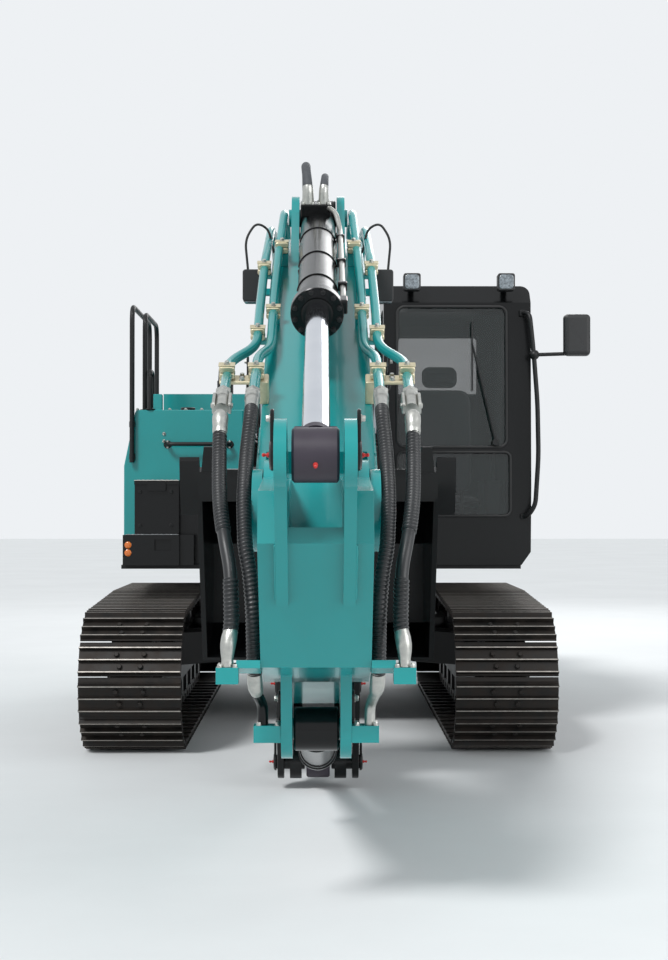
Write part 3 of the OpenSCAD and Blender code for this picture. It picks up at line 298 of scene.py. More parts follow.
def bead(points, r, side=X):
    """Weld bead: a tube whose radius swells every 9 mm along the seam."""
    way = rounded_route(points, 0.02, 0.004)
    s = np.arange(len(way)) * 0.004
    return tube(way, r * (1 + 0.18 * np.abs(np.sin(s / 0.009 * math.pi))), 8, side)


def weighted(mesh, smooth):
    """Smooth shading with flat faces kept flat: the normal at a face's corner is the mean of the normals,
    weighted by area, of those faces round its vertex that stand within smooth degrees of it."""
    mesh.shade_smooth()
    faces, corners = len(mesh.polygons), len(mesh.loops)
    normal, area = np.empty(faces * 3), np.empty(faces)
    count, vertex = np.empty(faces, int), np.empty(corners, int)
    mesh.polygons.foreach_get("normal", normal)
    mesh.polygons.foreach_get("area", area)
    mesh.polygons.foreach_get("loop_total", count)
    mesh.loops.foreach_get("vertex_index", vertex)
    normal = np.repeat(normal.reshape(-1, 3), count, axis=0)
    share = normal * np.repeat(area, count)[:, None]
    # Each corner a is paired with each corner b of the same vertex
    order = np.argsort(vertex, kind="stable")
    valence = np.bincount(vertex, minlength=len(mesh.vertices))
    first = np.cumsum(valence) - valence
    pairs = valence[vertex]
    a = np.repeat(np.arange(corners), pairs)
    b = order[first[vertex[a]] + np.arange(len(a)) - np.repeat(np.cumsum(pairs) - pairs, pairs)]
    near = (normal[a] * normal[b]).sum(1) > math.cos(math.radians(smooth))
    a, b = a[near], b[near]
    total = np.stack([np.bincount(a, share[b, k], corners) for k in range(3)], 1)
    mesh.normals_split_custom_set(total / np.maximum(np.linalg.norm(total, axis=1, keepdims=True), 1e-12))


# The body of each CAD node, and the nodes already replaced
BODY = {n: b for b, nodes in frame["record"]["behaviour"]["bodies"].items() for n in nodes}
replaced = set()


def placed(name, mesh, material, body, smooth, node):
    """The mesh as an object that rides on a CAD body. Where a CAD node is given, the first piece to name it
    replaces the node, which is hidden."""
    weighted(mesh, smooth)
    mesh.materials.append(material)
    obj = bpy.data.objects.new(name, mesh)
    scene.collection.objects.link(obj)
    if body:
        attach(obj, body)
    if node and node not in replaced:
        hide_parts(node)
        replaced.add(node)
    return obj


def piece(name, shapes, material, body="upper", smooth=40, node=None):
    """A finished piece, of one shape or a list of them. Edges sharper than smooth degrees stay sharp."""
    points, faces = joined(shapes)
    mesh = bpy.data.meshes.new(name)
    mesh.from_pydata(vec(points).tolist(), [], faces)
    mesh.validate()
    made = bmesh.new()
    made.from_mesh(mesh)
    bmesh.ops.remove_doubles(made, verts=made.verts, dist=1e-6)
    bmesh.ops.recalc_face_normals(made, faces=made.faces)
    made.to_mesh(mesh)
    made.free()
    return placed(name, mesh, material, body, smooth, node)


def softened(node, material, width):
    """A CAD node's mesh, merged, its flat parts joined and its edges sharper than 28 degrees rounded."""
    source = frame["nodes"][node]
    made = bmesh.new()
    made.from_mesh(source.data)
    made.transform(source.matrix_world)
    bmesh.ops.remove_doubles(made, verts=made.verts, dist=2e-5)
    bmesh.ops.dissolve_limit(made, angle_limit=math.radians(1), verts=made.verts, edges=made.edges)
    sharp = [e for e in made.edges if len(e.link_faces) == 2 and e.calc_face_angle() > math.radians(28)]
    bmesh.ops.bevel(made, geom=sharp, offset=width, segments=2, profile=0.5, affect="EDGES",
                    clamp_overlap=True)
    mesh = bpy.data.meshes.new(node + "_made")
    made.to_mesh(mesh)
    made.free()
    mesh.validate()
    placed(node + "_made", mesh, material, BODY[node], 50, node)


# Materials


def linear(code):
    """A colour written as sRGB hex, as linear RGBA."""
    parts = [int(code[i:i + 2], 16) / 255 for i in (1, 3, 5)]
    return tuple(c / 12.92 if c <= 0.04045 else ((c + 0.055) / 1.055) ** 2.4 for c in parts) + (1,)


def add(tree, kind, sockets=None, **settings):
    """Adds a node with its settings; each named socket gets a value, or a link from another's output."""
    made = tree.nodes.new("ShaderNode" + kind)
    for key, value in settings.items():
        setattr(made, key, value)
    for key, value in (sockets or {}).items():
        if isinstance(value, bpy.types.NodeSocket):
            tree.links.new(value, made.inputs[key])
        else:
            made.inputs[key].default_value = value
    return made


def finish(name, colour, second, patch, rough, grain=0.004, bump=0.0, contrast=1.0, **more):
    """A surface finish. colour shades into second in patches of a size in metres, the more sharply the
    higher the contrast; roughness runs from the first to the second value in the same patches; a grain of
    a size in metres raises the surface by bump metres. Both patterns are fractal noise on Object
    coordinates. more holds values of the shader's other sockets, by their names."""
    material = bpy.data.materials.new(name)
    material.use_nodes = True
    tree = material.node_tree
    shader = tree.nodes["Principled BSDF"]
    place = add(tree, "TexCoord").outputs["Object"]
    patches = add(tree, "TexNoise", {"Vector": place, "Scale": 1 / patch, "Detail": 5.0, "Roughness": 0.6})
    if second:
        ramp = add(tree, "ValToRGB", {"Fac": patches.outputs["Fac"]})
        ramp.color_ramp.elements[0].position = 0.5 - 0.22 / contrast
        ramp.color_ramp.elements[1].position = 0.5 + 0.22 / contrast
        ramp.color_ramp.elements[0].color = linear(colour)
        ramp.color_ramp.elements[1].color = linear(second)
        tree.links.new(ramp.outputs["Color"], shader.inputs["Base Color"])
    else:
        shader.inputs["Base Color"].default_value = linear(colour)
    dull = add(tree, "MapRange", {"Value": patches.outputs["Fac"], "From Min": 0.3, "From Max": 0.7,
                                  "To Min": rough[0], "To Max": rough[1]})
    tree.links.new(dull.outputs["Result"], shader.inputs["Roughness"])
    if bump:
        fine = add(tree, "TexNoise", {"Vector": place, "Scale": 1 / grain, "Detail": 2.0})
        raised = add(tree, "Bump", {"Height": fine.outputs["Fac"], "Distance": bump, "Strength": 1.0})
        tree.links.new(raised.outputs["Normal"], shader.inputs["Normal"])
    shader.inputs["Coat Roughness"].default_value = 0.06
    for key, value in more.items():
        shader.inputs[key.replace("_", " ").title().replace("Ior", "IOR")].default_value = value
    return material


# Baked acrylic enamel on welded plate: even teal, high gloss, faint orange peel of about 6 mm
TEAL_ENAMEL = finish("teal_baked_enamel", "#058887", "#089193", 0.9, (0.2, 0.27), 0.006, 0.00006,
                     coat_weight=0.3)
# Black enamel on the cylinders, upper frame and cab: glossy, a little softer than the teal
BLACK_ENAMEL = finish("black_baked_enamel", "#08090A", "#0C0D0E", 0.7, (0.18, 0.25), 0.006, 0.00005,
                      specular_ior_level=0.3)
# Black powder coat on frames, covers and rails: satin, fine leather grain of about 2 mm
BLACK_COAT = finish("black_powder_coat", "#0D0E0F", "#131415", 0.5, (0.42, 0.52), 0.003, 0.00008,
                    specular_ior_level=0.35)
# Rolled and hardened steel of shoes and links: near black scale, browned by damp in 80 mm patches
TRACK_STEEL = finish("browned_rolled_steel", "#171615", "#2A231E", 0.08, (0.42, 0.66), 0.006, 0.0003, 1.2,
                     metallic=0.4)
# The same steel ground bright where it meets the yard, on the crests of the track bars; the bright line along the
# tool box lid's edge is this steel as a painted highlight
BRIGHT_STEEL_WEAR_AND_HIGHLIGHT = finish("ground_bright_steel", "#8F8A84", "#B9B4AD", 0.03, (0.3, 0.5), 0.003, 0.0001,
                    metallic=0.9)
# Hard chrome plating on the rods: mirror with the faint rings of its grinding
CHROME = finish("ground_hard_chrome", "#C6CAD2", "#D3D6DC", 0.3, (0.07, 0.13), metallic=1.0)
# Cast steel under dark primer: the rod's eye, matt with a purple cast
PRIMED_CASTING = finish("primed_cast_steel", "#2B2530", "#342D38", 0.12, (0.42, 0.55), 0.003, 0.0002)
# Grey cast iron of the engine and the rollers' hubs
CAST_IRON = finish("grey_cast_iron", "#35373A", "#45474A", 0.1, (0.5, 0.65), 0.004, 0.0004, metallic=0.2)
# Zinc plating with clear passivation on fittings and bolts
ZINC = finish("clear_zinc_plating", "#A9AAA6", "#C2C2BC", 0.02, (0.28, 0.42), 0.002, 0.00005, metallic=0.95)
# Zinc plating with yellow passivation on the pipe clamps: pale cream
YELLOW_ZINC = finish("yellow_zinc_plating", "#BDB293", "#D6CCAF", 0.03, (0.3, 0.42), 0.002, 0.00005,
                     metallic=0.6)
# Synthetic rubber of hose covers and seals: dull black with a bloom
RUBBER = finish("nitrile_rubber", "#161616", "#202021", 0.06, (0.6, 0.75), 0.002, 0.00008)
# Nylon spiral guard wound round the hoses: black, slightly glossy ribs
SPIRAL = finish("nylon_spiral_guard", "#17181A", "#222426", 0.05, (0.34, 0.45), 0.002, 0.00004)
# Grey textile-covered hose over the boom's crest
GREY_HOSE = finish("woven_hose_cover", "#3A3D41", "#4B4E52", 0.03, (0.6, 0.75), 0.0016, 0.0002)
# Moulded ABS of lamps, consoles and mirror: fine spark grain of about 1 mm
MOULDED = finish("grained_moulded_plastic", "#131415", "#191A1C", 0.2, (0.45, 0.55), 0.002, 0.00006)
# Red dust caps of the grease nipples
RED_CAP = finish("red_polythene_cap", "#B3201C", "#C12B26", 0.01, (0.35, 0.45))
# Amber prism reflectors
AMBER = finish("amber_prism_plastic", "#C8601A", "#DC7A2C", 0.006, (0.12, 0.2), coat_weight=0.5)
# Aluminium tread plate: pale mill finish, scuffed
TREAD = finish("aluminium_tread_plate", "#9A9DA0", "#B4B7BA", 0.05, (0.32, 0.5), 0.003, 0.0001, metallic=0.9)
# Silvered mirror glass
MIRROR = finish("silvered_glass", "#DDE1E4", "#E4E7EA", 0.5, (0.02, 0.03), metallic=1.0)
# Lamp lens over its bright reflector
LENS = finish("fluted_lamp_lens", "#4E555A", "#8B949B", 0.012, (0.05, 0.12), 0.01, 0.0006, 1.5,
              coat_weight=1.0)
# Tinted safety glass: a grey-green film that lets two thirds of the light through, mirror-smooth
GLASS = finish("tinted_safety_glass", "#1B2625", None, 0.5, (0.015, 0.03), coat_weight=1.0,
               alpha=0.36, ior=1.6)


def seat_cloth():
    """Woven polyester on the chair: charcoal threads 1.2 mm apart, drawn 3 mm apart so that they show,
    crossed as two sets of waves, with a soft sheen."""
    material = finish("woven_polyester", "#2A2C30", "#34363B", 0.08, (0.8, 0.92))
    tree = material.node_tree
    shader = tree.nodes["Principled BSDF"]
    place = add(tree, "TexCoord").outputs["Object"]
    # A wave of scale 0.314 is 1 m long
    waves = {"Vector": place, "Scale": 0.314 / 0.003}
    warp, weft = (add(tree, "TexWave", waves, bands_direction=axis) for axis in "XZ")
    crossed = add(tree, "Math", {0: warp.outputs["Fac"], 1: weft.outputs["Fac"]}, operation="MULTIPLY")
    raised = add(tree, "Bump", {"Height": crossed.outputs["Value"], "Distance": 0.0006})
    tree.links.new(raised.outputs["Normal"], shader.inputs["Normal"])
    shader.inputs["Sheen Weight"].default_value = 0.4
    return material


CLOTH = seat_cloth()

# Tracks. Radius of the chain's pitch line on a tumbler, height of the axles, half the distance between them,
# rise of the upper run above the tumblers; y of the carrier rollers; number of shoes on a chain, distance of
# the two chains and width of a shoe
PITCH_R, AXLE_Z, HALF_T, RISE = 0.34, 0.418, 1.685, 0.054
CARRIERS = (-0.45, 0.56)
SHOES, GAUGE, SHOE_W = 47, 2.2, 0.6


def chain():
    """The chain's pitch line: a level lower run, arcs of radius PITCH_R round the two tumblers, and above
    them a level run between the carrier rollers with a straight tangent down to either arc. Returns the
    slopes of the two tangents, and the lengths from the front end of the lower run to each part's end."""
    high = PITCH_R + RISE
    reach = HALF_T + np.array([-CARRIERS[1], CARRIERS[0]])
    falls = np.arccos(PITCH_R / np.hypot(reach, high)) - np.arctan2(reach, high)
    slopes = np.sqrt(reach ** 2 + high ** 2 - PITCH_R ** 2)
    rear, front = PITCH_R * (math.pi - falls)
    return falls, np.cumsum([2 * HALF_T, rear, slopes[0], CARRIERS[1] - CARRIERS[0], slopes[1], front])


FALLS, MARKS = chain()
LINK = MARKS[-1] / SHOES


def on_loop(s):
    """(y, z, heading) of the pitch line at distances s from the front end of the lower run."""
    m, flat, top = MARKS, 0 * s, AXLE_Z + PITCH_R + RISE
    full, down = math.pi - FALLS[0], math.pi + FALLS[1]
    rear, front = (s - m[0]) / PITCH_R, down + (s - m[4]) / PITCH_R
    slope_y, slope_z = HALF_T + PITCH_R * math.sin(full), AXLE_Z - PITCH_R * math.cos(full)
    case = [s < mark for mark in m[:5]]
    y = np.select(case, [s - HALF_T, HALF_T + PITCH_R * np.sin(rear), slope_y + (s - m[1]) * math.cos(full),
                         CARRIERS[1] - (s - m[2]), CARRIERS[0] + (s - m[3]) * math.cos(down)],
                  -HALF_T + PITCH_R * np.sin(front))
    z = np.select(case, [flat + AXLE_Z - PITCH_R, AXLE_Z - PITCH_R * np.cos(rear),
                         slope_z + (s - m[1]) * math.sin(full), flat + top,
                         top + (s - m[3]) * math.sin(down)],
                  AXLE_Z - PITCH_R * np.cos(front))
    return y, z, np.select(case, [flat, rear, flat + full, flat + math.pi, flat + down], front)


def along_chain(shape, places, x):
    """Copies of a shape drawn as (across, along the chain, out from it), one at each place of the loop."""
    p, f = shape
    y, z, a = (q[:, None] for q in on_loop(places))
    out = np.stack([np.broadcast_to(p[:, 0], (len(places), len(p))) + x,
                    y + p[:, 1] * np.cos(a) + p[:, 2] * np.sin(a),
                    z + p[:, 1] * np.sin(a) - p[:, 2] * np.cos(a)], -1)
    return out.reshape(-1, 3), repeated(f, len(p), len(places))


def tracks():
    """Each shoe is one section carried across: a plate with three bars, and a lip that reaches under the
    next shoe. Under it two forged links joined by a pin in a bushing; four bolts hold it to them."""
    thirds = (-0.39, 0, 0.39)
    plate_top = 0.052
    bars = [(c * LINK + l, plate_top + h) for c in thirds for l, h in
            ((-0.009, 0), (-0.005, 0.024), (-0.003, 0.026), (0.003, 0.026), (0.005, 0.024), (0.009, 0))]
    lip = [(-0.47, 0.03), (-0.61, 0.024), (-0.62, 0.032), (-0.5, 0.04), (-0.46, plate_top)]
    nose = [(0.465, plate_top), (0.49, 0.047), (0.49, 0.043), (0.46, 0.042), (0.4, 0.036)]
    section = [(l * LINK, h) for l, h in lip] + bars + [(l * LINK, h) for l, h in nose]
    shoe = slab(section[::-1], -SHOE_W / 2, SHOE_W / 2, edge=0.002)
    crest = joined([slab([(c * LINK - 0.0035, 0.075), (c * LINK + 0.0035, 0.075), (c * LINK + 0.003, 0.0785),
                          (c * LINK - 0.003, 0.0785)], -SHOE_W / 2 + 0.002, SHOE_W / 2 - 0.002, edge=0.0005)
                    for c in thirds])
    link_side = [(-0.1, 0.0), (-0.092, -0.026), (-0.06, -0.043), (0.06, -0.043), (0.092, -0.026), (0.1, 0.0),
                 (0.09, 0.022), (0.06, 0.036), (-0.06, 0.036), (-0.09, 0.022)]
    links = joined([slab(link_side, x - 0.011, x + 0.011, edge=0.003)
                    for x in (-0.107, 0.107, -0.087, 0.087)])
    pin = bar(0.019, -0.124, 0.124, (0, 0, 0), X, 12)
    bushing = bar(0.0265, -0.074, 0.074, (0, 0, 0), X, 14)
    bolts = hex_heads([(-0.0805, -0.037, plate_top), (0.0805, -0.037, plate_top), (-0.061, 0.037, plate_top),
                       (0.061, 0.037, plate_top)], Z, 0.027, 0.013)
    middles, ends = (np.arange(SHOES) + 0.5) * LINK, np.arange(SHOES) * LINK + 0.001
    for name, x in (("left", GAUGE / 2), ("right", -GAUGE / 2)):
        piece(f"track_shoes_{name}", [along_chain(shoe, middles, x), along_chain(bolts, middles, x)],
              TRACK_STEEL, "undercarriage", 35, f"track_{name}")
        piece(f"worn_bar_edges_{name}", along_chain(crest, middles, x), BRIGHT_STEEL_WEAR_AND_HIGHLIGHT, "undercarriage", 35)
        piece(f"track_chain_{name}", [along_chain(links, middles, x), along_chain(pin, ends, x),
                                      along_chain(bushing, ends, x)], TRACK_STEEL, "undercarriage", 35)


tracks()
for side in ("left", "right"):
    softened("track_frame_" + side, BLACK_COAT, 0.006)
    softened("idler_" + side, CAST_IRON, 0.006)
    softened("sprocket_" + side, BLACK_COAT, 0.004)
    softened("rollers_" + side, BLACK_COAT, 0.004)
softened("car_body", BLACK_COAT, 0.008)


def circle_of(count, r, centre, axis, phase=0.5):
    """count places round a circle of radius r about an axis, the first a share phase of a step on."""
    a = (np.arange(count) + phase) / count * TURN
    axis = unit(axis)
    u = unit(np.cross(axis, Z if abs(axis[2]) < 0.9 else X))
    return vec(centre) + r * (np.cos(a)[:, None] * u + np.sin(a)[:, None] * np.cross(axis, u))


def closed(ring_points):
    """A ring of points with its first point added at its end."""
    return np.vstack([ring_points, ring_points[:1]])


def undercarriage_fasteners():
    """Rings of bolts and a cap on the final drives, bolts on the sprockets and idler hubs, and a row of
    bolts along either frame."""
    shapes = []
    for s in (1, -1):
        x, out = s * GAUGE / 2, s * X
        drive = (x + s * 0.17, HALF_T, AXLE_Z)
        shapes += [hex_heads(circle_of(16, 0.145, drive, out), out, 0.02),
                   hex_heads(circle_of(20, 0.19, (x + s * 0.115, HALF_T, AXLE_Z), out), out, 0.024),
                   hex_heads(circle_of(6, 0.045, (x + s * 0.1287, -HALF_T, AXLE_Z), out), out, 0.016),
                   turned([(0.09, 0), (0.09, 0.012), (0.07, 0.022), (0.03, 0.026)], drive, out),
                   hex_heads([(x + s * 0.165, y, 0.31) for y in np.linspace(-1.1, 1.1, 7)], out, 0.024)]
    piece("undercarriage_bolts", shapes, BLACK_COAT, "undercarriage")


undercarriage_fasteners()

# Boom
softened("boom", TEAL_ENAMEL, 0.012)

# Half the boom's width, eyes of its cylinders' rods, and where its pipes end: side, share and lift
FLANK = BOOM_W / 2
BOOM_EYE = FOOT + np.array([-2.45, 0.43])
PIPE_END = (5, 0.967, 0.216)
# Points of the pipes, and the clamps on them: distance out from the flank, side of the top plate, share
# along it and lift. A clamp's last two values are the two sides of its foot, out from the flank.
PIPES = (((-0.035, 0, 0.75, 0.06), (-0.035, 1, 0, 0.06), (-0.045, 2, 0, 0.08), (-0.045, 3, 0, 0.14),
          (-0.045, 4, 0, 0.14), (-0.03, 5, 0, 0.08), (-0.021, 5, 0.25, 0.055), (-0.021, 5, 0.52, 0.06),
          (0.027, 5, 0.6, 0.095), (0.025, *PIPE_END)),
         ((0.023, 0, 0.75, 0.05), (0.023, 1, 0, 0.05), (0.023, 2, 0, 0.05), (0.023, 3, 0, 0.06),
          (0.023, 4, 0, 0.05), (0.035, 5, 0, 0.05), (0.041, 5, 0.3, 0.05), (0.041, 5, 0.5, 0.05),
          (0.148, 5, 0.6, 0.07), (0.138, *PIPE_END)))
CLAMPS = ((-0.045, 4, 0.87, 0.095, -0.075, -0.015), (-0.021, 5, 0.32, 0.056, -0.051, -0.001),
          (0.036, 5, 0.05, 0.05, -0.02, 0.06), (0.041, 5, 0.43, 0.05, -0.02, 0.066),
          (-0.035, 1, 0.5, 0.07, -0.065, -0.01), (0.023, 1, 0.55, 0.05, -0.02, 0.05),
          (0.0265, 5, 0.711, 0.131), (0.145, 5, 0.711, 0.131))


def clamp(out, side, share, lift, *foot):
    """Pipe clamp: two halves of a rounded block round the pipe, square to it, bolted through a strap. It
    stands on a foot on the boom's plate."""
    along, normal = boom_slope(side)
    centre = on_boom(side, share, lift, FLANK + out)
    block = [plate(0.064, 0.026, 0.011, -0.022, 0.022, centre + normal * k * 0.0145, X, normal)
             for k in (-1, 1)]
    block.append(plate(0.068, 0.005, 0.002, -0.017, 0.017, centre + normal * 0.03, X, normal, 0.001))
    bolt = hex_heads([centre + normal * 0.0325], normal, 0.017, 0.01)
    if not foot:
        return block, bolt, []
    a, b = FLANK + foot[0], FLANK + foot[1]
    low = on_boom(side, share, 0.0, 0.5 * (a + b))
    return block, bolt, [plate(b - a, 0.036, 0.004, 0.0, lift - 0.028, low, X, along)]


def laid_along(shapes, along, place):
    """The shapes with their Y turned to along about X, and moved to a place."""
    p, f = joined(shapes)
    return p @ np.stack([X, along, np.cross(X, along)]) + place, f


def boom_plumbing():
    """Two steel pipes on either side over the boom, their clamps and feet, the bracket under the clamps at
    the nose, and the arm cylinder's pipe with its head, which has a flange for either hose."""
    along, normal = boom_slope(5)
    pipes = [tube(rounded_route([on_boom(*at, FLANK + x) for x, *at in way], 0.09), 0.021, 20)
             for way in PIPES]
    middle = ((0, 0.8), (1, 0), (2, 0), (3, 0), (3, 0.3))
    pipes.append(tube(rounded_route([on_boom(*at, 0.03, 0.06) for at in middle], 0.12), 0.018, 16))
    blocks, bolts, feet = zip(*[clamp(*row) for row in CLAMPS])
    nose = CLAMPS[-1][1:3]
    bracket = laid_along([brick((-0.02, -0.04, -0.05), (0.02, 0.04, 0.052)),
                          brick((-0.01, -0.032, 0.034), (0.18, 0.032, 0.05))], along,
                         on_boom(*nose, 0.05, FLANK - 0.003))
    plate_bolts = hex_heads([on_boom(*nose, 0.101, FLANK + 0.085) + along * k for k in (-0.017, 0.017)],
                            normal, 0.017, 0.01)
    piece("steel_pipes", mirrored(pipes), TEAL_ENAMEL, "boom", node="boom_pipes")
    piece("clamp_feet", mirrored(sum(feet, [])), TEAL_ENAMEL, "boom")
    piece("nose_bracket", mirrored(bracket), YELLOW_ZINC, "boom")
    piece("pipe_clamps", mirrored(sum(blocks, [])), YELLOW_ZINC, "boom")
    piece("clamp_bolts", mirrored([plate_bolts, *bolts]), ZINC, "boom")
    along, normal = boom_slope(3)
    head = brick((-0.11, -0.03, -0.03), (0.11, 0.03, 0.03))
    piece("crest_head", laid_along(head, -along, on_boom(3, 0.33, 0.031, 0)), BLACK_COAT, "boom")
    flanges = [[on_boom(3, 0.33, 0.062, x) + along * k + j * X for k in (-0.02, 0.02)
                for j in (-0.026, 0.026)] for x in (-0.062, 0.035)]
    piece("crest_flange_bolts", [hex_heads(places, normal, 0.013, 0.008) for places in flanges], ZINC, "boom")


boom_plumbing()


def seams_of_boom():
    """Weld beads along the corners between the boom's side plates and its top plate, and round the bosses."""
    shapes = []
    for s in (1, -1):
        corner = [on_boom(side, share, -0.014, s * (FLANK + 0.001)) for side, share in
                  ((0, 0.5), (1, 0), (2, 0), (3, 0), (4, 0), (5, 0), (5, 0.93))]
        boss = circle_of(24, 0.117, (s * 0.2205, *BOOM_EYE), X)
        shapes += [bead(corner, 0.005), bead(closed(boss), 0.005)]
    piece("boom_weld_seams", shapes, TEAL_ENAMEL, "boom")


seams_of_boom()


def pin_ends(name, centre, body, out, r):
    """Covers of a pin's two ends: a domed disc with a locking flag bolted beside it, and a grease nipple
    with its red cap. centre is (y, z), out the distance from the middle plane."""
    discs, bolts, caps = [], [], []
    y, z = centre
    for s in (1, -1):
        discs += [turned([(r, 0), (r, 0.008), (r - 0.006, 0.014), (r * 0.45, 0.016)], (s * out, y, z), s * X),
                  plate(0.05, 0.13, 0.02, 0, 0.012, (s * (out if s > 0 else out + 0.012), y, z + r + 0.03))]
        bolts.append(hex_heads([(s * (out + 0.012), y, z + r + 0.065)], s * X, 0.019, 0.011))
        caps.append(nipple((s * (out + 0.015), y, z), s * X))
    piece(name + "_covers", discs, BLACK_ENAMEL, body)
    piece(name + "_flag_bolts", bolts, ZINC, body)
    piece(name + "_nipples", caps, RED_CAP, body)


pin_ends("boom_foot_pin", FOOT, "upper", 0.300, 0.066)
pin_ends("boom_tip_pin", TIP, "boom", 0.251, 0.058)
pin_ends("boom_rod_pin", BOOM_EYE, "boom_rods", 0.385, 0.05)


# Cylinders


def hydraulic(name, base, eye, xs, length, barrel, rod, rim, base_w, eye_size, rod_from, nodes, neck_l=0.035):
    """A hydraulic cylinder: base eye and neck as a plate, barrel as a turned tube with its weld and its
    flanged gland, a ground rod, and the rod's cast eye. base and eye are (y, z), xs the places across,
    length the barrel's from its base pin, barrel and rod diameters. rim is what the gland's flange adds to
    the barrel's, base_w the base eye's thickness, eye_size the rod eye's diameter and thickness, rod_from
    the distance from the base pin at which the rod starts, neck_l the length of its eye's neck. nodes are
    those of the barrel and the rod. Returns the directions along it and square to it."""
    barrel_node, rod_node = nodes
    e = unit(eye - base)
    span = np.linalg.norm(eye - base)
    along, square = np.array([0, *e]), np.array([0, -e[1], e[0]])
    r, half, q = barrel / 2, rod / 2, eye_size[0] / 2
    rim_r = r + rim / 2
    steel, gland, bolts, rods, eyes, nipples = [], [], [], [], [], []
    a, b = np.linspace(0.62, TURN - 0.62, 25), np.linspace(0.5, TURN - 0.5, 29)
    lug = np.vstack([np.stack([np.cos(a), np.sin(a)], 1) * (r + 0.005),
                     [(0.15, -(r - 0.012)), (0.15, r - 0.012)]])
    neck = np.vstack([np.stack([-np.cos(b), -np.sin(b)], 1) * q,
                      [(-q - neck_l, half + 0.006), (-q - neck_l, -half - 0.006)]])
    barrel_side = [(r - 0.012, 0.098), (r, 0.108), (r, 0.116), (r + 0.006, 0.122), (r + 0.006, 0.13),
                   (r, 0.136), (r, length - 0.1), (r, length - 0.09)]
    gland_side = [(r - 0.01, length - 0.115), (r + 0.006, length - 0.112), (r + 0.008, length - 0.105),
                  (r + 0.008, length - 0.068), (rim_r - 0.003, length - 0.066), (rim_r, length - 0.063),
                  (rim_r, length - 0.003), (rim_r - 0.003, length), (half + 0.02, length),
                  (half + 0.018, length + 0.012), (half + 0.004, length + 0.014)]
    for x in xs:
        o, far = np.array([x, *base]), np.array([x, *eye])
        steel.append(slab(lug, -base_w / 2, base_w / 2, o, along, square, 0.006))
        steel.append(turned(barrel_side, o, along, 48))
        gland.append(turned(gland_side, o, along, 48))
        if rim > 0.02:
            bolts.append(hex_heads(circle_of(12, rim_r - 0.016, o + along * length, along), along,
                                   0.017, 0.012))
        rods.append(turned([(half - 0.003, rod_from), (half, rod_from + 0.003), (half, span - q + 0.01)],
                           o, along, 48))
        eyes.append(slab(neck, -eye_size[1] / 2, eye_size[1] / 2, far, along, square, 0.008))
        eyes.append(turned([(half + 0.002, span - q - 2 * neck_l), (half + 0.012, span - q - 1.8 * neck_l),
                            (half + 0.012, span - q - 0.8 * neck_l)], o, along))
        nipples.append(nipple(far + along * (q - 0.002), along))
    piece(name + "_barrel", steel, BLACK_ENAMEL, BODY[barrel_node], 35, barrel_node)
    piece(name + "_gland", gland, BLACK_ENAMEL, BODY[barrel_node], 35)
    if bolts:
        piece(name + "_gland_bolts", bolts, BLACK_COAT, BODY[barrel_node])
    piece(name + "_chrome", rods, CHROME, BODY[rod_node], 35, rod_node)
    piece(name + "_rod_eye", eyes, PRIMED_CASTING, BODY[rod_node], 35)
    piece(name + "_grease_caps", nipples, RED_CAP, BODY[rod_node])
    return along, square


ARM_BASE, ARM_EYE = PIN["arm_cylinder"], on_arm(-0.831, -0.099)
BUCKET_BASE = PIN["bucket_cylinder"]
ARM_CYL_ALONG, ARM_CYL_BELOW = hydraulic("arm_cylinder", ARM_BASE, ARM_EYE, (0,), 1.88, 0.17, 0.095, 0.05,
                                         0.18, (0.175, 0.15), 1.672, ("arm_barrel", "arm_rod"))
hydraulic("boom_cylinder", PIN["boom_cylinders"], BOOM_EYE, (-0.327, 0.327), 1.49, 0.146, 0.085, 0.014, 0.088,
          (0.15, 0.088), 0.581, ("boom_barrels", "boom_rods"), 0.012)
hydraulic("bucket_cylinder", BUCKET_BASE, KNEE, (0,), 1.56, 0.146, 0.08, 0.03, 0.16, (0.16, 0.12), 1.368,
          ("bucket_barrel", "bucket_rod"))


def by_arm_cylinder(x, along, up):
    """Point beside the arm cylinder: across, along it from its base pin, and out from its line."""
    return np.array([x, *ARM_BASE]) + ARM_CYL_ALONG * along - ARM_CYL_BELOW * up


def cylinder_ports():
    """Ports and steel pipe of the arm cylinder: a block near the base, a pipe along the barrel to the gland
    held by three straps, and the flanges of its two hoses."""
    e, n, at = ARM_CYL_ALONG, ARM_CYL_BELOW, by_arm_cylinder
    places = (0.62, 1.12, 1.55)
    block = plate(0.08, 0.066, 0.008, -0.085, 0.065, at(0, 0.255, 0.098), e, n, 0.004)
    port = plate(0.09, 0.06, 0.01, 0.088, 0.125, at(0, 1.81, 0.02), e, n, 0.004)
    straps = [tube(circle_of(49, 0.0865, at(0, s, 0), e, 0), 0.0035, 8, e) for s in places]
    lugs = [plate(0.03, 0.04, 0.006, 0.088, 0.127, at(0, s, 0.033), e, n) for s in places]
    piece("arm_cylinder_ports", [block, port, *straps, *lugs], BLACK_ENAMEL, "arm_barrel")
    way = rounded_route([at(0.05, 0.28, 0.115), at(0.088, 0.36, 0.105), at(0.108, 0.46, 0.04),
                         at(0.108, 1.7, 0.03), at(0.1, 1.79, 0.02)], 0.06)
    piece("arm_cylinder_pipe", tube(way, 0.0125, 14, (0.2, 0, 1)), ZINC, "arm_barrel")
    bolts = [at(x + j, 0.255 + k, 0.13) for x in (-0.05, 0.028) for j in (-0.024, 0.024)
             for k in (-0.026, 0.026)]
    piece("arm_port_bolts", hex_heads(bolts, -n, 0.013, 0.008), ZINC, "arm_barrel")


cylinder_ports()


# Hoses


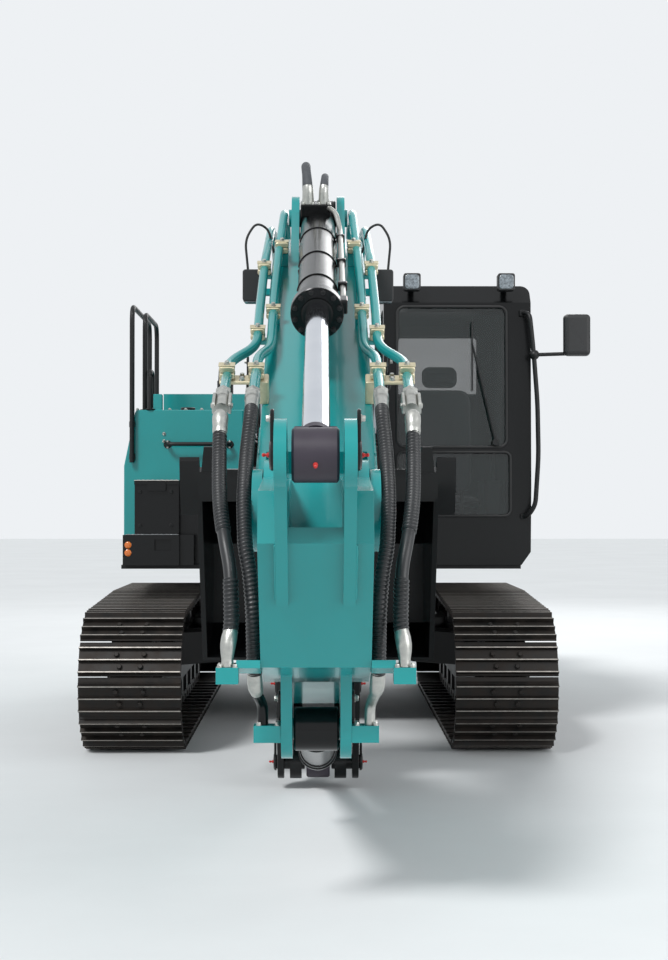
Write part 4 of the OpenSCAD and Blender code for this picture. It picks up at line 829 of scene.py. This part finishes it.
def guarded_hose(way, first, last, bare=(0, 0)):
    """Hose in a spiral guard, cut by first and last metres at its ends: its radius is 22.8 mm plus a ridge
    of up to 4.5 mm that winds once round it every 15 mm, left out between the two heights bare."""
    s = lengths(way)
    keep = (s >= first) & (s <= s[-1] - last)
    way, s = way[keep], s[keep]
    around = 16
    phase = s[:, None] / 0.015 * TURN - np.arange(around) / around * TURN
    ribbed = (way[:, 2] <= bare[0]) | (way[:, 2] >= bare[1])
    ridge = 0.0045 * np.sqrt(0.5 + 0.5 * np.cos(phase)) * ribbed[:, None]
    return carried(way, ring(around)[None] * (0.0228 + ridge)[..., None])


def sleeve(way, first, last, radii):
    """Fitting on a hose or pipe between two lengths from its start, its radius running through radii."""
    rows = 24
    radius = np.interp(np.linspace(0, 1, rows), np.linspace(0, 1, len(radii)), radii)
    return tube(spaced(way, np.linspace(first, last, rows)), radius, 20)


# Middles of the arm's outer and inner hose blocks, and how far out the hoses leave the boom's flank
OUTER_BLOCK, INNER_BLOCK = on_arm(-0.2, -0.657), on_arm(0.139, -0.788)
OUTER_X, INNER_X = FLANK + 0.138, FLANK + 0.025


def arm_hose_set():
    """Two hoses on either side from the boom's pipes down to the arm's root, with their ferrules and the
    inner ones' steel elbows."""
    along, _ = boom_slope(5)
    (low_y, low_z), (deep_y, deep_z) = OUTER_BLOCK, INNER_BLOCK
    outer = [(0.358, -5.56, 1.8), (0.356, -5.65, 1.668), (0.347, -5.8, 1.527), (0.335, -5.9, 1.435),
             (0.315, -5.98, 1.338), (0.295, -6.02, 1.25), (0.287, -6.08, 1.06), (0.3, low_y, low_z + 0.095),
             (0.3, low_y, low_z + 0.029)]
    inner = [(0.256, -5.65, 1.668), (0.258, -5.85, 1.481), (0.246, -5.98, 1.321), (0.228, -6.02, 1.239),
             (0.216, -6.04, 1.11), (0.216, -5.95, 0.902), (0.214, -5.91, 0.822), (0.19, deep_y, deep_z + 0.1),
             (0.19, deep_y, deep_z + 0.031)]
    ways = []
    for x, points in ((OUTER_X, outer), (INNER_X, inner)):
        top = on_boom(*PIPE_END, x)
        ways.append(rounded_route([top - along * 0.001, top - along * 0.05] + points, 0.12, 0.0025))
    for side, end in ((1, "left"), (-1, "right")):
        way = ways[0] * [side, 1, 1]
        whole = lengths(way)[-1]
        hose = piece(f"outer_hose_{end}", guarded_hose(way, 0.15, 0.12, (1.215, 1.377)), SPIRAL, None, 60,
                     "arm_hoses")
        collar = piece(f"upper_ferrule_{end}",
                       sleeve(way, 0.045, 0.155, [0.022, 0.03, 0.03, 0.028, 0.0285, 0.025]), ZINC, None, 50)
        piece(f"outer_lower_ferrule_{end}",
              sleeve(way, whole - 0.125, whole, [0.024, 0.027, 0.027, 0.024, 0.02, 0.022]), ZINC, "arm", 50)
        way = ways[1] * [side, 1, 1]
        whole = lengths(way)[-1]
        inner_hose = piece(f"inner_hose_{end}", guarded_hose(way, 0.0, 0.24), SPIRAL, None, 60, "arm_hoses")
        piece(f"inner_elbow_{end}", sleeve(way, whole - 0.16, whole, [0.019, 0.019]),
              ZINC if side > 0 else BLACK_ENAMEL, "arm")
        piece(f"inner_lower_ferrule_{end}",
              sleeve(way, whole - 0.245, whole - 0.15, [0.024, 0.027, 0.027, 0.026, 0.022]), ZINC, "arm", 50)
        for part in (hose, collar, inner_hose):
            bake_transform(part)


arm_hose_set()


def pipe_fittings():
    """Nuts and ferrules at the ends of the boom's pipes, and the stop valves of the outer ones."""
    along, _ = boom_slope(5)
    ends = [on_boom(*PIPE_END, x) + along * 0.148 for x in (INNER_X, OUTER_X)]
    nuts = [turned([(0.028, 0), (0.032, 0.003), (0.032, 0.026), (0.028, 0.029)], p, -along, 6) for p in ends]
    ferrule_side = [(0.026, 0.03), (0.03, 0.034), (0.03, 0.07), (0.027, 0.075), (0.0265, 0.15)]
    ferrules = [turned(ferrule_side, p, -along, 28) for p in ends]
    p = on_boom(*PIPE_END, OUTER_X)
    valves = [plate(0.1, 0.05, 0.012, k * 0.03 - 0.006, k * 0.03 + 0.006, p + along * 0.05, along,
                    np.cross(X, along), 0.002) for k in (-1, 1)]
    valves.append(bar(0.011, -0.042, 0.042, p + along * 0.03, X, 12))
    piece("pipe_nuts", mirrored(nuts), ZINC, "boom")
    piece("pipe_ferrules", mirrored(ferrules), ZINC, "boom")
    piece("stop_valves", mirrored(valves), ZINC, "boom")


pipe_fittings()


def crest_hose_set():
    """Two woven-covered hoses arching from the head on the boom's crest to the arm cylinder's port."""
    y, z = on_boom(3, 0.33, 0.063)
    port, over = (by_arm_cylinder(0, 0.255, up)[1:] for up in (0.131, 0.22))
    for k, (x, sag, r) in enumerate(((-0.062, 0.0, 0.023), (0.035, -0.055, 0.019)), 1):
        way = rounded_route([(x, y, z), (x, y - 0.01, z + 0.125 + sag / 2), (x, y - 0.16, z + 0.255 + sag),
                             (x, y - 0.38, z + 0.285 + sag), (x, over[0] + 0.09, over[1] + 0.11 + sag),
                             (x * 0.8, *over), (x * 0.8, *port)], 0.12, 0.006)
        whole = lengths(way)[-1]
        hose = piece(f"crest_hose_{k}", tube(way, r, 20), GREY_HOSE, None, 60, "barrel_hoses")
        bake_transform(hose)
        collar = sleeve(way, 0, 0.09, [r + 0.008, r + 0.006, r + 0.006, r + 0.002])
        piece(f"crest_collar_boom_{k}", collar, ZINC, "boom", 50)
        collar = sleeve(way, whole - 0.085, whole, [r + 0.002, r + 0.005, r + 0.006, r + 0.008])
        piece(f"crest_collar_barrel_{k}", collar, ZINC, "arm_barrel", 50)


crest_hose_set()

# Arm, links and bucket
softened("arm", TEAL_ENAMEL, 0.012)
softened("arm_blocks", TEAL_ENAMEL, 0.005)
for node in ("side_links", "push_link", "bucket"):
    softened(node, BLACK_ENAMEL, 0.005)
pin_ends("link_pin", SIDE_PIN, "arm", 0.2105, 0.045)
pin_ends("knee_pin", KNEE, "side_links", 0.2155, 0.045)
pin_ends("bucket_pin", BUCKET_PIN, "bucket", 0.2105, 0.05)


def arm_details():
    """Weld beads down the arm's root and along its box, and the flange bolts of the hose blocks."""
    seams, bolts = [], []
    for s in (1, -1):
        for x, points in ((0.189, ((0.3, 0.1), (-0.05, 0.108))),
                          (0.151, ((0.7, 0.095), (1.6, 0.085), (2.35, 0.07))),
                          (0.151, ((0.9, -0.385), (1.6, -0.27), (2.35, -0.145))),
                          (0.131, ((-0.47, -0.467), (-0.66, -0.343)))):
            seams.append(bead([(s * x, *on_arm(*p)) for p in points], 0.004))
        for x, (y, z), up, across, half in ((0.3, OUTER_BLOCK, 0.028, (-0.026, 0.026), 0.021),
                                            (0.174, INNER_BLOCK, 0.03, (-0.03, 0.036), 0.023)):
            bolts.append(hex_heads([(s * x + j, y + k, z + up) for j in across for k in (-half, half)],
                                   Z, 0.014, 0.009))
    piece("arm_weld_seams", seams, TEAL_ENAMEL, "arm")
    piece("arm_block_bolts", bolts, ZINC, "arm")


arm_details()
pin_ends("arm_rod_pin", ARM_EYE, "arm", 0.1305, 0.05)
pin_ends("bucket_base_pin", BUCKET_BASE, "arm", 0.1255, 0.044)

# Upper structure: each node with its finish and the rounding of its edges
for node, material, width in (
        ("revolving_frame", BLACK_COAT, 0.006), ("counterweight", TEAL_ENAMEL, 0.025),
        ("engine", CAST_IRON, 0.01), ("cooler", BLACK_COAT, 0.004), ("valve_block", CAST_IRON, 0.005),
        ("cab", BLACK_ENAMEL, 0.006), ("cab_glass", GLASS, 0.001), ("cab_door", BLACK_ENAMEL, 0.006),
        ("door_glass", GLASS, 0.001), ("console", MOULDED, 0.01), ("fuel_tank", TEAL_ENAMEL, 0.014),
        ("tool_box", BLACK_ENAMEL, 0.008), ("tool_box_lid", BLACK_ENAMEL, 0.006),
        ("housing", TEAL_ENAMEL, 0.008), ("bonnet", BLACK_ENAMEL, 0.014),
        ("left_door", TEAL_ENAMEL, 0.006), ("right_door", TEAL_ENAMEL, 0.006), ("exhaust", BLACK_COAT, 0.004),
        ("cab_lamps", MOULDED, 0.006), ("boom_lamps", MOULDED, 0.006)):
    softened(node, material, width)


def gasket(name, w, h, r, centre, u, v, body="upper"):
    """Rubber seal round a pane: a tube along the pane's rounded outline, in the plane of u and v."""
    o = closed(rounded_outline(w, h, r, 7))
    piece(name, tube(vec(centre) + o[:, :1] * u + o[:, 1:] * v, 0.009, 8, np.cross(u, v)), RUBBER, body, 60)


gasket("upper_pane_seal", 0.703, 0.901, 0.05, (0.8515, -1.145, 2.2915), X, Z)
gasket("lower_pane_seal", 0.728, 0.409, 0.04, (0.864, -1.145, 1.6045), X, Z)
gasket("rear_window_seal", 0.6, 0.442, 0.03, (0.88, 0.598, 2.501), X, Z)
gasket("front_boom_side_seal", 0.94, 1.21, 0.03, (0.418, -0.53, 2.125), Y, Z)
gasket("rear_boom_side_seal", 0.48, 0.905, 0.03, (0.418, 0.25, 2.2775), Y, Z)
gasket("rear_door_side_seal", 0.49, 0.905, 0.03, (1.357, 0.245, 2.2775), Y, Z)
gasket("door_window_seal", 0.73, 0.885, 0.04, (1.357, -0.535, 2.2275), Y, Z, "cab_door")
gasket("roof_hatch_seal", 0.545, 0.5, 0.03, (0.8875, -0.35, 2.888), X, Y)


def wiper():
    """Wiper of the upper pane: a spindle, a sprung arm and the rubber blade, leaning toward the middle."""
    foot, tip = np.array([1.13, -1.17, 1.87]), np.array([0.98, -1.178, 2.5])
    arm_way = rounded_route([foot, foot + unit(tip - foot) * 0.3, tip], 0.1)
    blade = rounded_route([tip - Z * 0.3, tip, tip + Z * 0.14], 0.05)
    piece("wiper_arm", [tube(arm_way, 0.007, 10), bar(0.022, -0.03, 0.012, foot, -Y, 20)], BLACK_COAT)
    piece("wiper_blade", tube(blade + Y * 0.006, 0.006, 8), RUBBER)


wiper()


def crowned_pad(name, w, h, thick, corner, centre, u, v):
    """A padded form on the plane of u and v, with piped edges. Rows of its rounded outline shrink to a share
    q toward the middle while their height is thick * (0.5 + 0.5 * sqrt(1 - q ** 4)), less two sewn channels
    6 mm deep and 8 mm wide, of Gaussian section, across it at 0.17 of its height from the middle. The first
    two rows are its underside and its rim."""
    n = np.cross(u, v)
    outline = rounded_outline(w, h, corner, 8)
    q = np.linspace(0.97, 0.04, 14)
    rows = outline * np.concatenate([[0.96, 1], q])[:, None, None]
    crown = np.concatenate([[0, 0.35], 0.5 + 0.5 * (1 - q ** 4) ** 0.5])[:, None]
    channel = 0.006 * np.exp(-(((np.abs(rows[..., 1]) - h * 0.17) / 0.008) ** 2))
    channel[:2] = 0
    p = centre + rows[..., :1] * u + rows[..., 1:] * v + (thick * crown - channel)[..., None] * n
    pad = piece(name, (p.reshape(-1, 3), skin(len(rows), len(outline))), CLOTH, smooth=80)
    soft = pad.modifiers.new("soft", "SUBSURF")
    soft.levels = soft.render_levels = 1
    edge = closed(rounded_outline(w * 0.985, h * 0.985, corner, 8))
    way = centre + edge[:, :1] * u + edge[:, 1:] * v + n * thick * 0.5
    piece(name + "_piping", tube(way, 0.005, 8, n), RUBBER, smooth=60)


def chair():
    """The operator's chair: bellows base, crowned cushion and back, and headrest."""
    x = 0.8775
    base = [brick((x - 0.2, -0.25, 1.147), (x + 0.2, 0.18, 1.2), 0.01)]
    base += [brick((x - 0.18, -0.23, 1.2 + k * 0.045), (x + 0.18, 0.16, 1.235 + k * 0.045), 0.012)
             for k in range(4)]
    base.append(brick((x - 0.22, -0.27, 1.38), (x + 0.22, 0.2, 1.42), 0.01))
    piece("chair_base", base, MOULDED, node="operator_chair")
    lean = math.radians(10)
    up = np.array([0, math.sin(lean), math.cos(lean)])
    out = np.cross(X, up)
    foot = np.array([x, 0.2, 1.54])
    crowned_pad("chair_cushion", 0.49, 0.52, 0.1, 0.11, np.array([x, -0.035, 1.44]), X, Y)
    crowned_pad("chair_back", 0.45, 0.76, 0.09, 0.08, foot + up * 0.4 - out * 0.045, X, up)
    crowned_pad("chair_headrest", 0.25, 0.15, 0.08, 0.05, foot + up * 0.875 - out * 0.04, X, up)


chair()


def from_foot(x, y, z):
    """Point of the boom: across, and (y, z) from its foot pin."""
    return (x, FOOT[0] + y, FOOT[1] + z)


def lamps_of_cab_and_boom():
    """Front glasses of the two roof lamps and undersides of the two boom lamps, the boom lamps' brackets
    and their cables."""
    for k, x in enumerate((0.595, 1.197), 1):
        lens = loft(rounded_outline(0.092, 0.092, 0.02), [0, 0.004, 0.007], [0, 0.001, 0.006],
                    (x, -1.2, 2.895), X, Z)
        piece(f"roof_lamp_lens_{k}", lens, LENS)
    lens = loft(rounded_outline(0.074, 0.074, 0.014), [0, 0.003, 0.005], [0, 0.001, 0.005],
                from_foot(0.331, -3.35, 0.765), X, -Y)
    bracket = brick(from_foot(0.2203, -3.372, 0.798), from_foot(0.292, -3.328, 0.832))
    cable = rounded_route([(0.222, -3.4, 2.74), (0.25, -3.42, 2.86), (0.31, -3.45, 2.885),
                           (0.365, -3.46, 2.8), (0.35, -3.45, 2.64)], 0.06, 0.01)
    piece("boom_lamp_lenses", mirrored(lens), LENS, "boom")
    piece("boom_lamp_brackets", mirrored(bracket), TEAL_ENAMEL, "boom")
    piece("boom_lamp_cables", mirrored(tube(cable, 0.006, 10, Y)), RUBBER, "boom", 60)


lamps_of_cab_and_boom()

# z of the fuel tank's top and y of its front, where feet and bolts seat
TANK_TOP, TANK_FRONT = 2.1203, -0.4205


def hoop(x, y0, z0, y1, z1, top):
    """Corners of a rail that stands up at two places along the machine."""
    return [(x, y0, z0), (x, y0, top), (x, y1, top), (x, y1, z1)]


def rails():
    """Handrails of the tank's side: bent tubes on welded feet. The outer rail's two brackets have one bolt
    each, the grip's ends two."""
    grip_z, grip_ends, grip_y = 1.884, (-1.035, -0.611), -0.5
    feet_at = ((-1.2, -0.33), (-1.2, 0.48), (-1.155, -0.4), (-1.155, -0.25))
    a, b = grip_ends
    ways = ((hoop(-1.275, -0.45, 1.76, 0.7, 2.1103, 2.83), 0.017, 0.11),
            (hoop(-1.2, -0.33, TANK_TOP, 0.48, TANK_TOP, 2.79), 0.017, 0.11),
            (hoop(-1.155, -0.4, TANK_TOP, -0.25, TANK_TOP, 2.39), 0.013, 0.05),
            ([(a, TANK_FRONT, grip_z), (a, grip_y, grip_z), (b, grip_y, grip_z), (b, TANK_FRONT, grip_z)],
             0.014, 0.05))
    piece("rail_tubes", [tube(rounded_route(points, bend), r, 18, (0.2, 0.3, 1)) for points, r, bend in ways],
          BLACK_COAT, node="handrails")
    piece("rail_feet", [brick((-1.295, -0.45, z), (-1.255, -0.42, z + 0.04), 0.002) for z in (1.78, 2.0)]
          + [bar(0.035, 0, 0.008, (x, y, TANK_TOP), Z, 20) for x, y in feet_at]
          + [bar(0.028, 0, 0.006, (x, TANK_FRONT, grip_z), -Y, 20) for x in grip_ends], BLACK_COAT)
    piece("rail_bolts", [hex_heads([(-1.275, -0.452, z) for z in (1.8, 2.02)], -Y, 0.017, 0.01),
                         hex_heads([(x, -0.424, grip_z + k) for x in grip_ends for k in (-0.02, 0.02)],
                                   -Y, 0.011, 0.007)], ZINC)


rails()


def door_mirror():
    """Mirror before the cab: a bent tube on two feet, a ball joint, and a shell with its glass."""
    x, y = 1.36, -1.242
    ball = (x + 0.009, y, 2.424)
    bow = rounded_route([(x - 0.055, -1.146, 2.7), (x - 0.02, y + 0.01, 2.692), (x + 0.003, y, 2.456),
                         (x + 0.028, y, 2.119), (x + 0.034, y, 1.782), (x + 0.015, y + 0.01, 1.47),
                         (x - 0.025, y + 0.04, 1.405), (x - 0.05, -1.148, 1.396)], 0.08)
    arm_bar = rounded_route([ball, (x + 0.264, y - 0.018, 2.431)], 0.05)
    piece("mirror_tube", [tube(bow, 0.015, 16, (0.3, 1, 0.2)), tube(arm_bar, 0.012, 14, Z),
                          turned([(0.004, -0.032), (0.02, -0.026), (0.03, -0.012), (0.0325, 0), (0.03, 0.012),
                                  (0.02, 0.026), (0.004, 0.032)], ball, Z, 24)], BLACK_COAT, node="mirror")
    centre = (x + 0.273, y - 0.053, 2.5455)
    shell = loft(rounded_outline(0.172, 0.267, 0.03, 7), [-0.035, -0.02, 0.02, 0.034, 0.035],
                 [0.03, 0.006, 0, 0.003, 0.01], centre, -X, Z)
    glass = loft(rounded_outline(0.15, 0.245, 0.024, 7), [0.035, 0.037], [0, 0.001], centre, -X, Z)
    piece("mirror_shell", shell, MOULDED)
    piece("mirror_glass", glass, MIRROR)
    piece("mirror_feet", [brick((x - 0.075, -1.16, 2.68), (x - 0.035, -1.132, 2.72)),
                          brick((x - 0.07, -1.16, 1.38), (x - 0.03, -1.1365, 1.41))], BLACK_COAT)


door_mirror()


def tank_and_box_details():
    """Filler cap, bolts of the tank and of the tool box, reflectors, and a painted highlight along the lid's front
    edge.
    """
    cap = turned([(0.045, 2.12), (0.045, 2.15), (0.052, 2.153), (0.052, 2.168), (0.046, 2.172),
                  (0.01, 2.174)], (-0.946, 0.2, 0), Z, 36)
    piece("filler_cap", cap, BLACK_COAT)
    piece("tank_bolts", hex_heads([(-1.06, TANK_FRONT, z) for z in (1.955, 1.905)]
                                  + [(-1.245 + 0.11 * k, -0.38, 2.121) for k in range(5)], (0, -0.7, 0.7),
                                  0.017, 0.01), ZINC)
    piece("tool_box_bolts", hex_heads([(x, -1.0805, z) for x in (-1.15, -0.95) for z in (1.555, 1.34)], -Y,
                                      0.019, 0.011), BLACK_COAT)
    dome = [(0.0, 0.002), (0.018, 0.002), (0.022, 0), (0.022, 0.004), (0.018, 0.007), (0.0, 0.009)]
    piece("step_reflectors", [turned(dome, (-1.215, -1.1802, z), -Y, 24) for z in (1.165, 1.215)], AMBER)
    # Painted highlight: a thin bright steel line along the tool box lid's front edge
    piece("lid_worn_edge", bead([(-1.187, -1.09, 1.628), (-0.898, -1.09, 1.628)], 0.002, Z), BRIGHT_STEEL_WEAR_AND_HIGHLIGHT,
          "tool_box_lid")


tank_and_box_details()


def tread_plate(name, low, high, body="upper"):
    """Tread plate: a thin sheet with raised lozenges 30 mm apart, turned to one side and the other."""
    low, high = vec(low), vec(high)
    nx, ny = ((high - low)[:2] / 0.03).astype(int)
    i, j = np.meshgrid(np.arange(nx), np.arange(ny), indexing="ij")
    cx = low[0] + (i + 0.5) * (high[0] - low[0]) / nx
    cy = low[1] + (j + 0.5) * (high[1] - low[1]) / ny
    turn = np.where((i + j) % 2 == 0, 1.0, -1.0) * math.radians(45)
    p = np.array([(-0.012, 0, 0), (0, -0.0035, 0), (0.012, 0, 0), (0, 0.0035, 0), (-0.006, 0, 0.002),
                  (0.006, 0, 0.002)])
    lozenge = [(0, 1, 4), (1, 5, 4), (1, 2, 5), (2, 3, 5), (3, 4, 5), (3, 0, 4)]
    c, s = np.cos(turn)[..., None], np.sin(turn)[..., None]
    points = np.stack([cx[..., None] + p[:, 0] * c - p[:, 1] * s, cy[..., None] + p[:, 0] * s + p[:, 1] * c,
                       np.broadcast_to(high[2] + p[:, 2], (nx, ny, len(p)))], -1).reshape(-1, 3)
    piece(name, [brick(low, high, 0.001), (points, repeated(lozenge, len(p), nx * ny))], TREAD, body, 30)


tread_plate("tool_box_tread", (-1.18, -1.075, 1.6285), (-0.905, -0.47, 1.631), "tool_box_lid")
tread_plate("step_tread", (-1.235, -1.165, 1.2795), (-0.9, -1.09, 1.282))

# Surroundings. Pale grey painted studio floor
FLOOR = finish("matt_floor_paint", "#D9DCDD", "#E0E3E4", 1.5, (0.75, 0.85), 0.01, 0.0001)


def studio():
    """Pale floor, pale sky seen by the camera, a large soft key light, a fill and a rim light."""
    mesh = bpy.data.meshes.new("floor")
    mesh.from_pydata([(-40, -30, 0), (40, -30, 0), (40, 60, 0), (-40, 60, 0)], [], [(0, 1, 2, 3)])
    mesh.materials.append(FLOOR)
    floor = bpy.data.objects.new("floor", mesh)
    scene.collection.objects.link(floor)
    world = bpy.data.worlds.new("studio")
    scene.world = world
    world.use_nodes = True
    tree = world.node_tree
    path = add(tree, "LightPath").outputs
    seen = add(tree, "Math", {0: path["Is Camera Ray"], 1: path["Is Glossy Ray"]}, operation="MAXIMUM")
    seen = add(tree, "Math", {0: seen.outputs["Value"], 1: path["Is Transmission Ray"]}, operation="MAXIMUM")
    strength = add(tree, "MapRange", {"Value": seen.outputs["Value"], "To Min": 0.55, "To Max": 1.0})
    back = tree.nodes["Background"]
    back.inputs["Color"].default_value = linear("#EEF1F4")
    tree.links.new(strength.outputs["Result"], back.inputs["Strength"])
    # Name, kind, strength, size (an angle for the sun), place, and the point it faces
    for name, kind, energy, size, place, aim in (
            ("key", "SUN", 2.3, 0.25, (-6, -9, 12), (0, 0, 1)),
            ("fill", "AREA", 420, 6.0, (8, -10, 5), (0, -2, 1.5)),
            ("rim", "AREA", 350, 6.0, (3, 10, 8), (0, 0, 1.5))):
        data = bpy.data.lights.new(name, kind)
        data.energy = energy
        setattr(data, "angle" if kind == "SUN" else "size", size)
        lamp = bpy.data.objects.new(name, data)
        lamp.location = place
        towards = unit(np.subtract(place, aim))
        lamp.rotation_euler = (math.acos(towards[2]), 0, math.atan2(towards[1], towards[0]) + math.pi / 2)
        scene.collection.objects.link(lamp)


studio()
scene.view_settings.view_transform = "Standard"
